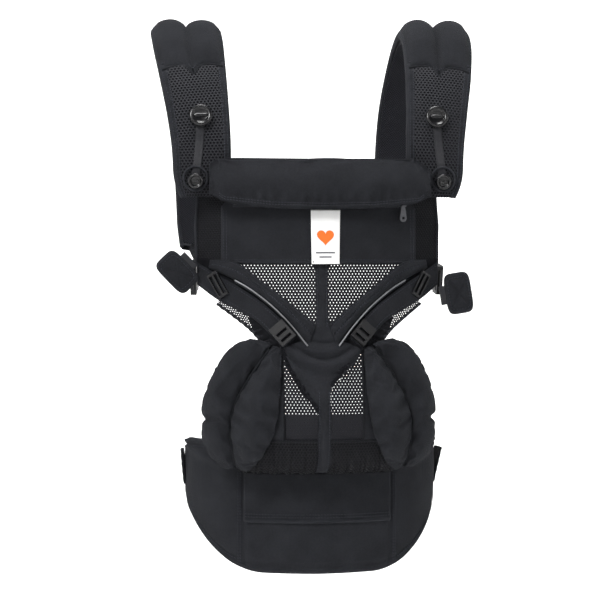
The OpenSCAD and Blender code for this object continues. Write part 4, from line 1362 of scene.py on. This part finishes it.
def make_buckle_pad(side, spot, tilt):
    """Padded tab beside the side buckle, with two creases that cross, on a stem of webbing."""
    name = SIDES[side]
    kind = {"body": f"buckle_pad_{name}"}
    m = frame_at(side, spot, turn(90) @ turn(z=tilt))
    a = round_angles(96)
    wide, high = rounded_box(a, PAD_HALF_W, PAD_HALF_H, PAD_POWER, PAD_POWER)
    rings = []
    for k, z in PAD_LEVELS:
        x, y = wide * k, high * k
        lift = 0.5 * crease(x, y, 161 + side, 12) * (k < 0.9)
        if z > 0 and k < 0.8:
            p, q = x / PAD_HALF_W, y / PAD_HALF_H
            lift = lift - 0.9 * (bump(p - q, 0.1) + bump(p + q, 0.1))
        rings.append(points(x, y, z + lift))
    tube(f"buckle_pad_{name}_cloth", placed(m, np.array(rings)), CANVAS_PAD, replaces=[f"buckle_pad_{name}"],
         **kind)
    x, y = np.meshgrid(np.linspace(-22, -10, 8), np.linspace(-11, 11, 12))
    stem = (placed(m, points(x, y, z)) for z in (1.2, -1.2))
    shell(f"buckle_pad_stem_{name}", *stem, WEBBING, **kind)
    x, y = rounded_box(np.r_[a, a[:1]], PAD_HALF_W * 0.78, PAD_HALF_H * 0.78, PAD_POWER, PAD_POWER)
    row = placed(m, points(x, y, 4.0))
    stitch_rows(f"buckle_pad_stitching_{name}", [row], slot="canvas_soft", **kind)


# CAD hardware that stays as it is, with its finished material
HARDWARE = {
    PLASTIC: """waist_socket waist_plug waist_prong_top waist_prong_bottom side_socket side_plug_left
        side_plug_right prong_top_left prong_bottom_left prong_top_right prong_bottom_right chest_socket
        chest_plug chest_prong_top chest_prong_bottom band_slider seat_adjuster_left seat_adjuster_right""",
    ZINC: "zip_slider zip_pull",
}


def dress(material, names):
    for name in names.split():
        for s in bpy.data.objects[name].material_slots:
            s.link = "OBJECT"
            s.material = material


# ---- air in the pads

AIR = {
    "quality": 6, "mass": 0.25, "tension_stiffness": 18, "compression_stiffness": 18, "shear_stiffness": 8,
    "bending_stiffness": 0.6, "use_pressure": True, "uniform_pressure_force": 4.0, "shrink_min": -0.05,
    "shrink_max": -0.05, "vertex_group_mass": "held",
}
AIR_FRAMES = 20
MOST_PUFF = 3.2 * MM


def vertex_values(mesh, what):
    values = np.zeros(len(mesh.vertices) * 3)
    mesh.vertices.foreach_get(what, values)
    return values.reshape(-1, 3)


def inflate(pieces):
    """Fills each pad with air: its rear is held, and its front puffs and puckers at most MOST_PUFF."""
    scene = bpy.context.scene
    before = {}
    for o in pieces:
        before[o.name] = vertex_values(o.data, "co")
        rear = np.nonzero(vertex_values(o.data, "normal")[:, 1] > -0.12)[0]
        o.vertex_groups.new(name="held").add([int(i) for i in rear], 1.0, "REPLACE")
        air = o.modifiers.new("air", "CLOTH")
        for key, value in AIR.items():
            setattr(air.settings, key, value)
        air.settings.effector_weights.gravity = 0
        air.collision_settings.use_collision = False
        air.collision_settings.use_self_collision = False
        air.point_cache.frame_start, air.point_cache.frame_end = 1, AIR_FRAMES
    for f in range(1, AIR_FRAMES + 1):
        scene.frame_set(f)
    depsgraph = bpy.context.evaluated_depsgraph_get()
    for o in pieces:
        move = vertex_values(o.evaluated_get(depsgraph).data, "co") - before[o.name]
        length = np.maximum(np.linalg.norm(move, axis=1, keepdims=True), 1e-9)
        move = move * MOST_PUFF * np.tanh(length / MOST_PUFF) / length
        o.modifiers.remove(o.modifiers["air"])
        o.vertex_groups.clear()
        o.data.vertices.foreach_set("co", (before[o.name] + move).ravel())
        o.data.update()
    scene.frame_set(1)


make_pillow()
make_zip()
for side in SIDES:
    make_strap_pads(side)
    make_strap_front(side)
    make_strap_trim(side)
    make_strap_tail(side)
    make_knob(side, "upper", KNOB_HIGH, 26, 8.5)
    make_knob(side, "lower", KNOB_LOW, 17.5, 8.5)
make_buckle_pad(LEFT, (164, -107, 236), -44)
make_buckle_pad(RIGHT, (165, -104, 211), 9)
for material, names in HARDWARE.items():
    dress(material, names)

CLOTHS = {o.name: o for o in bpy.data.objects if o.name.endswith("_cloth")}
inflate([o for name, o in CLOTHS.items() if name.startswith("wing_")] + [CLOTHS["head_pillow_cloth"]])
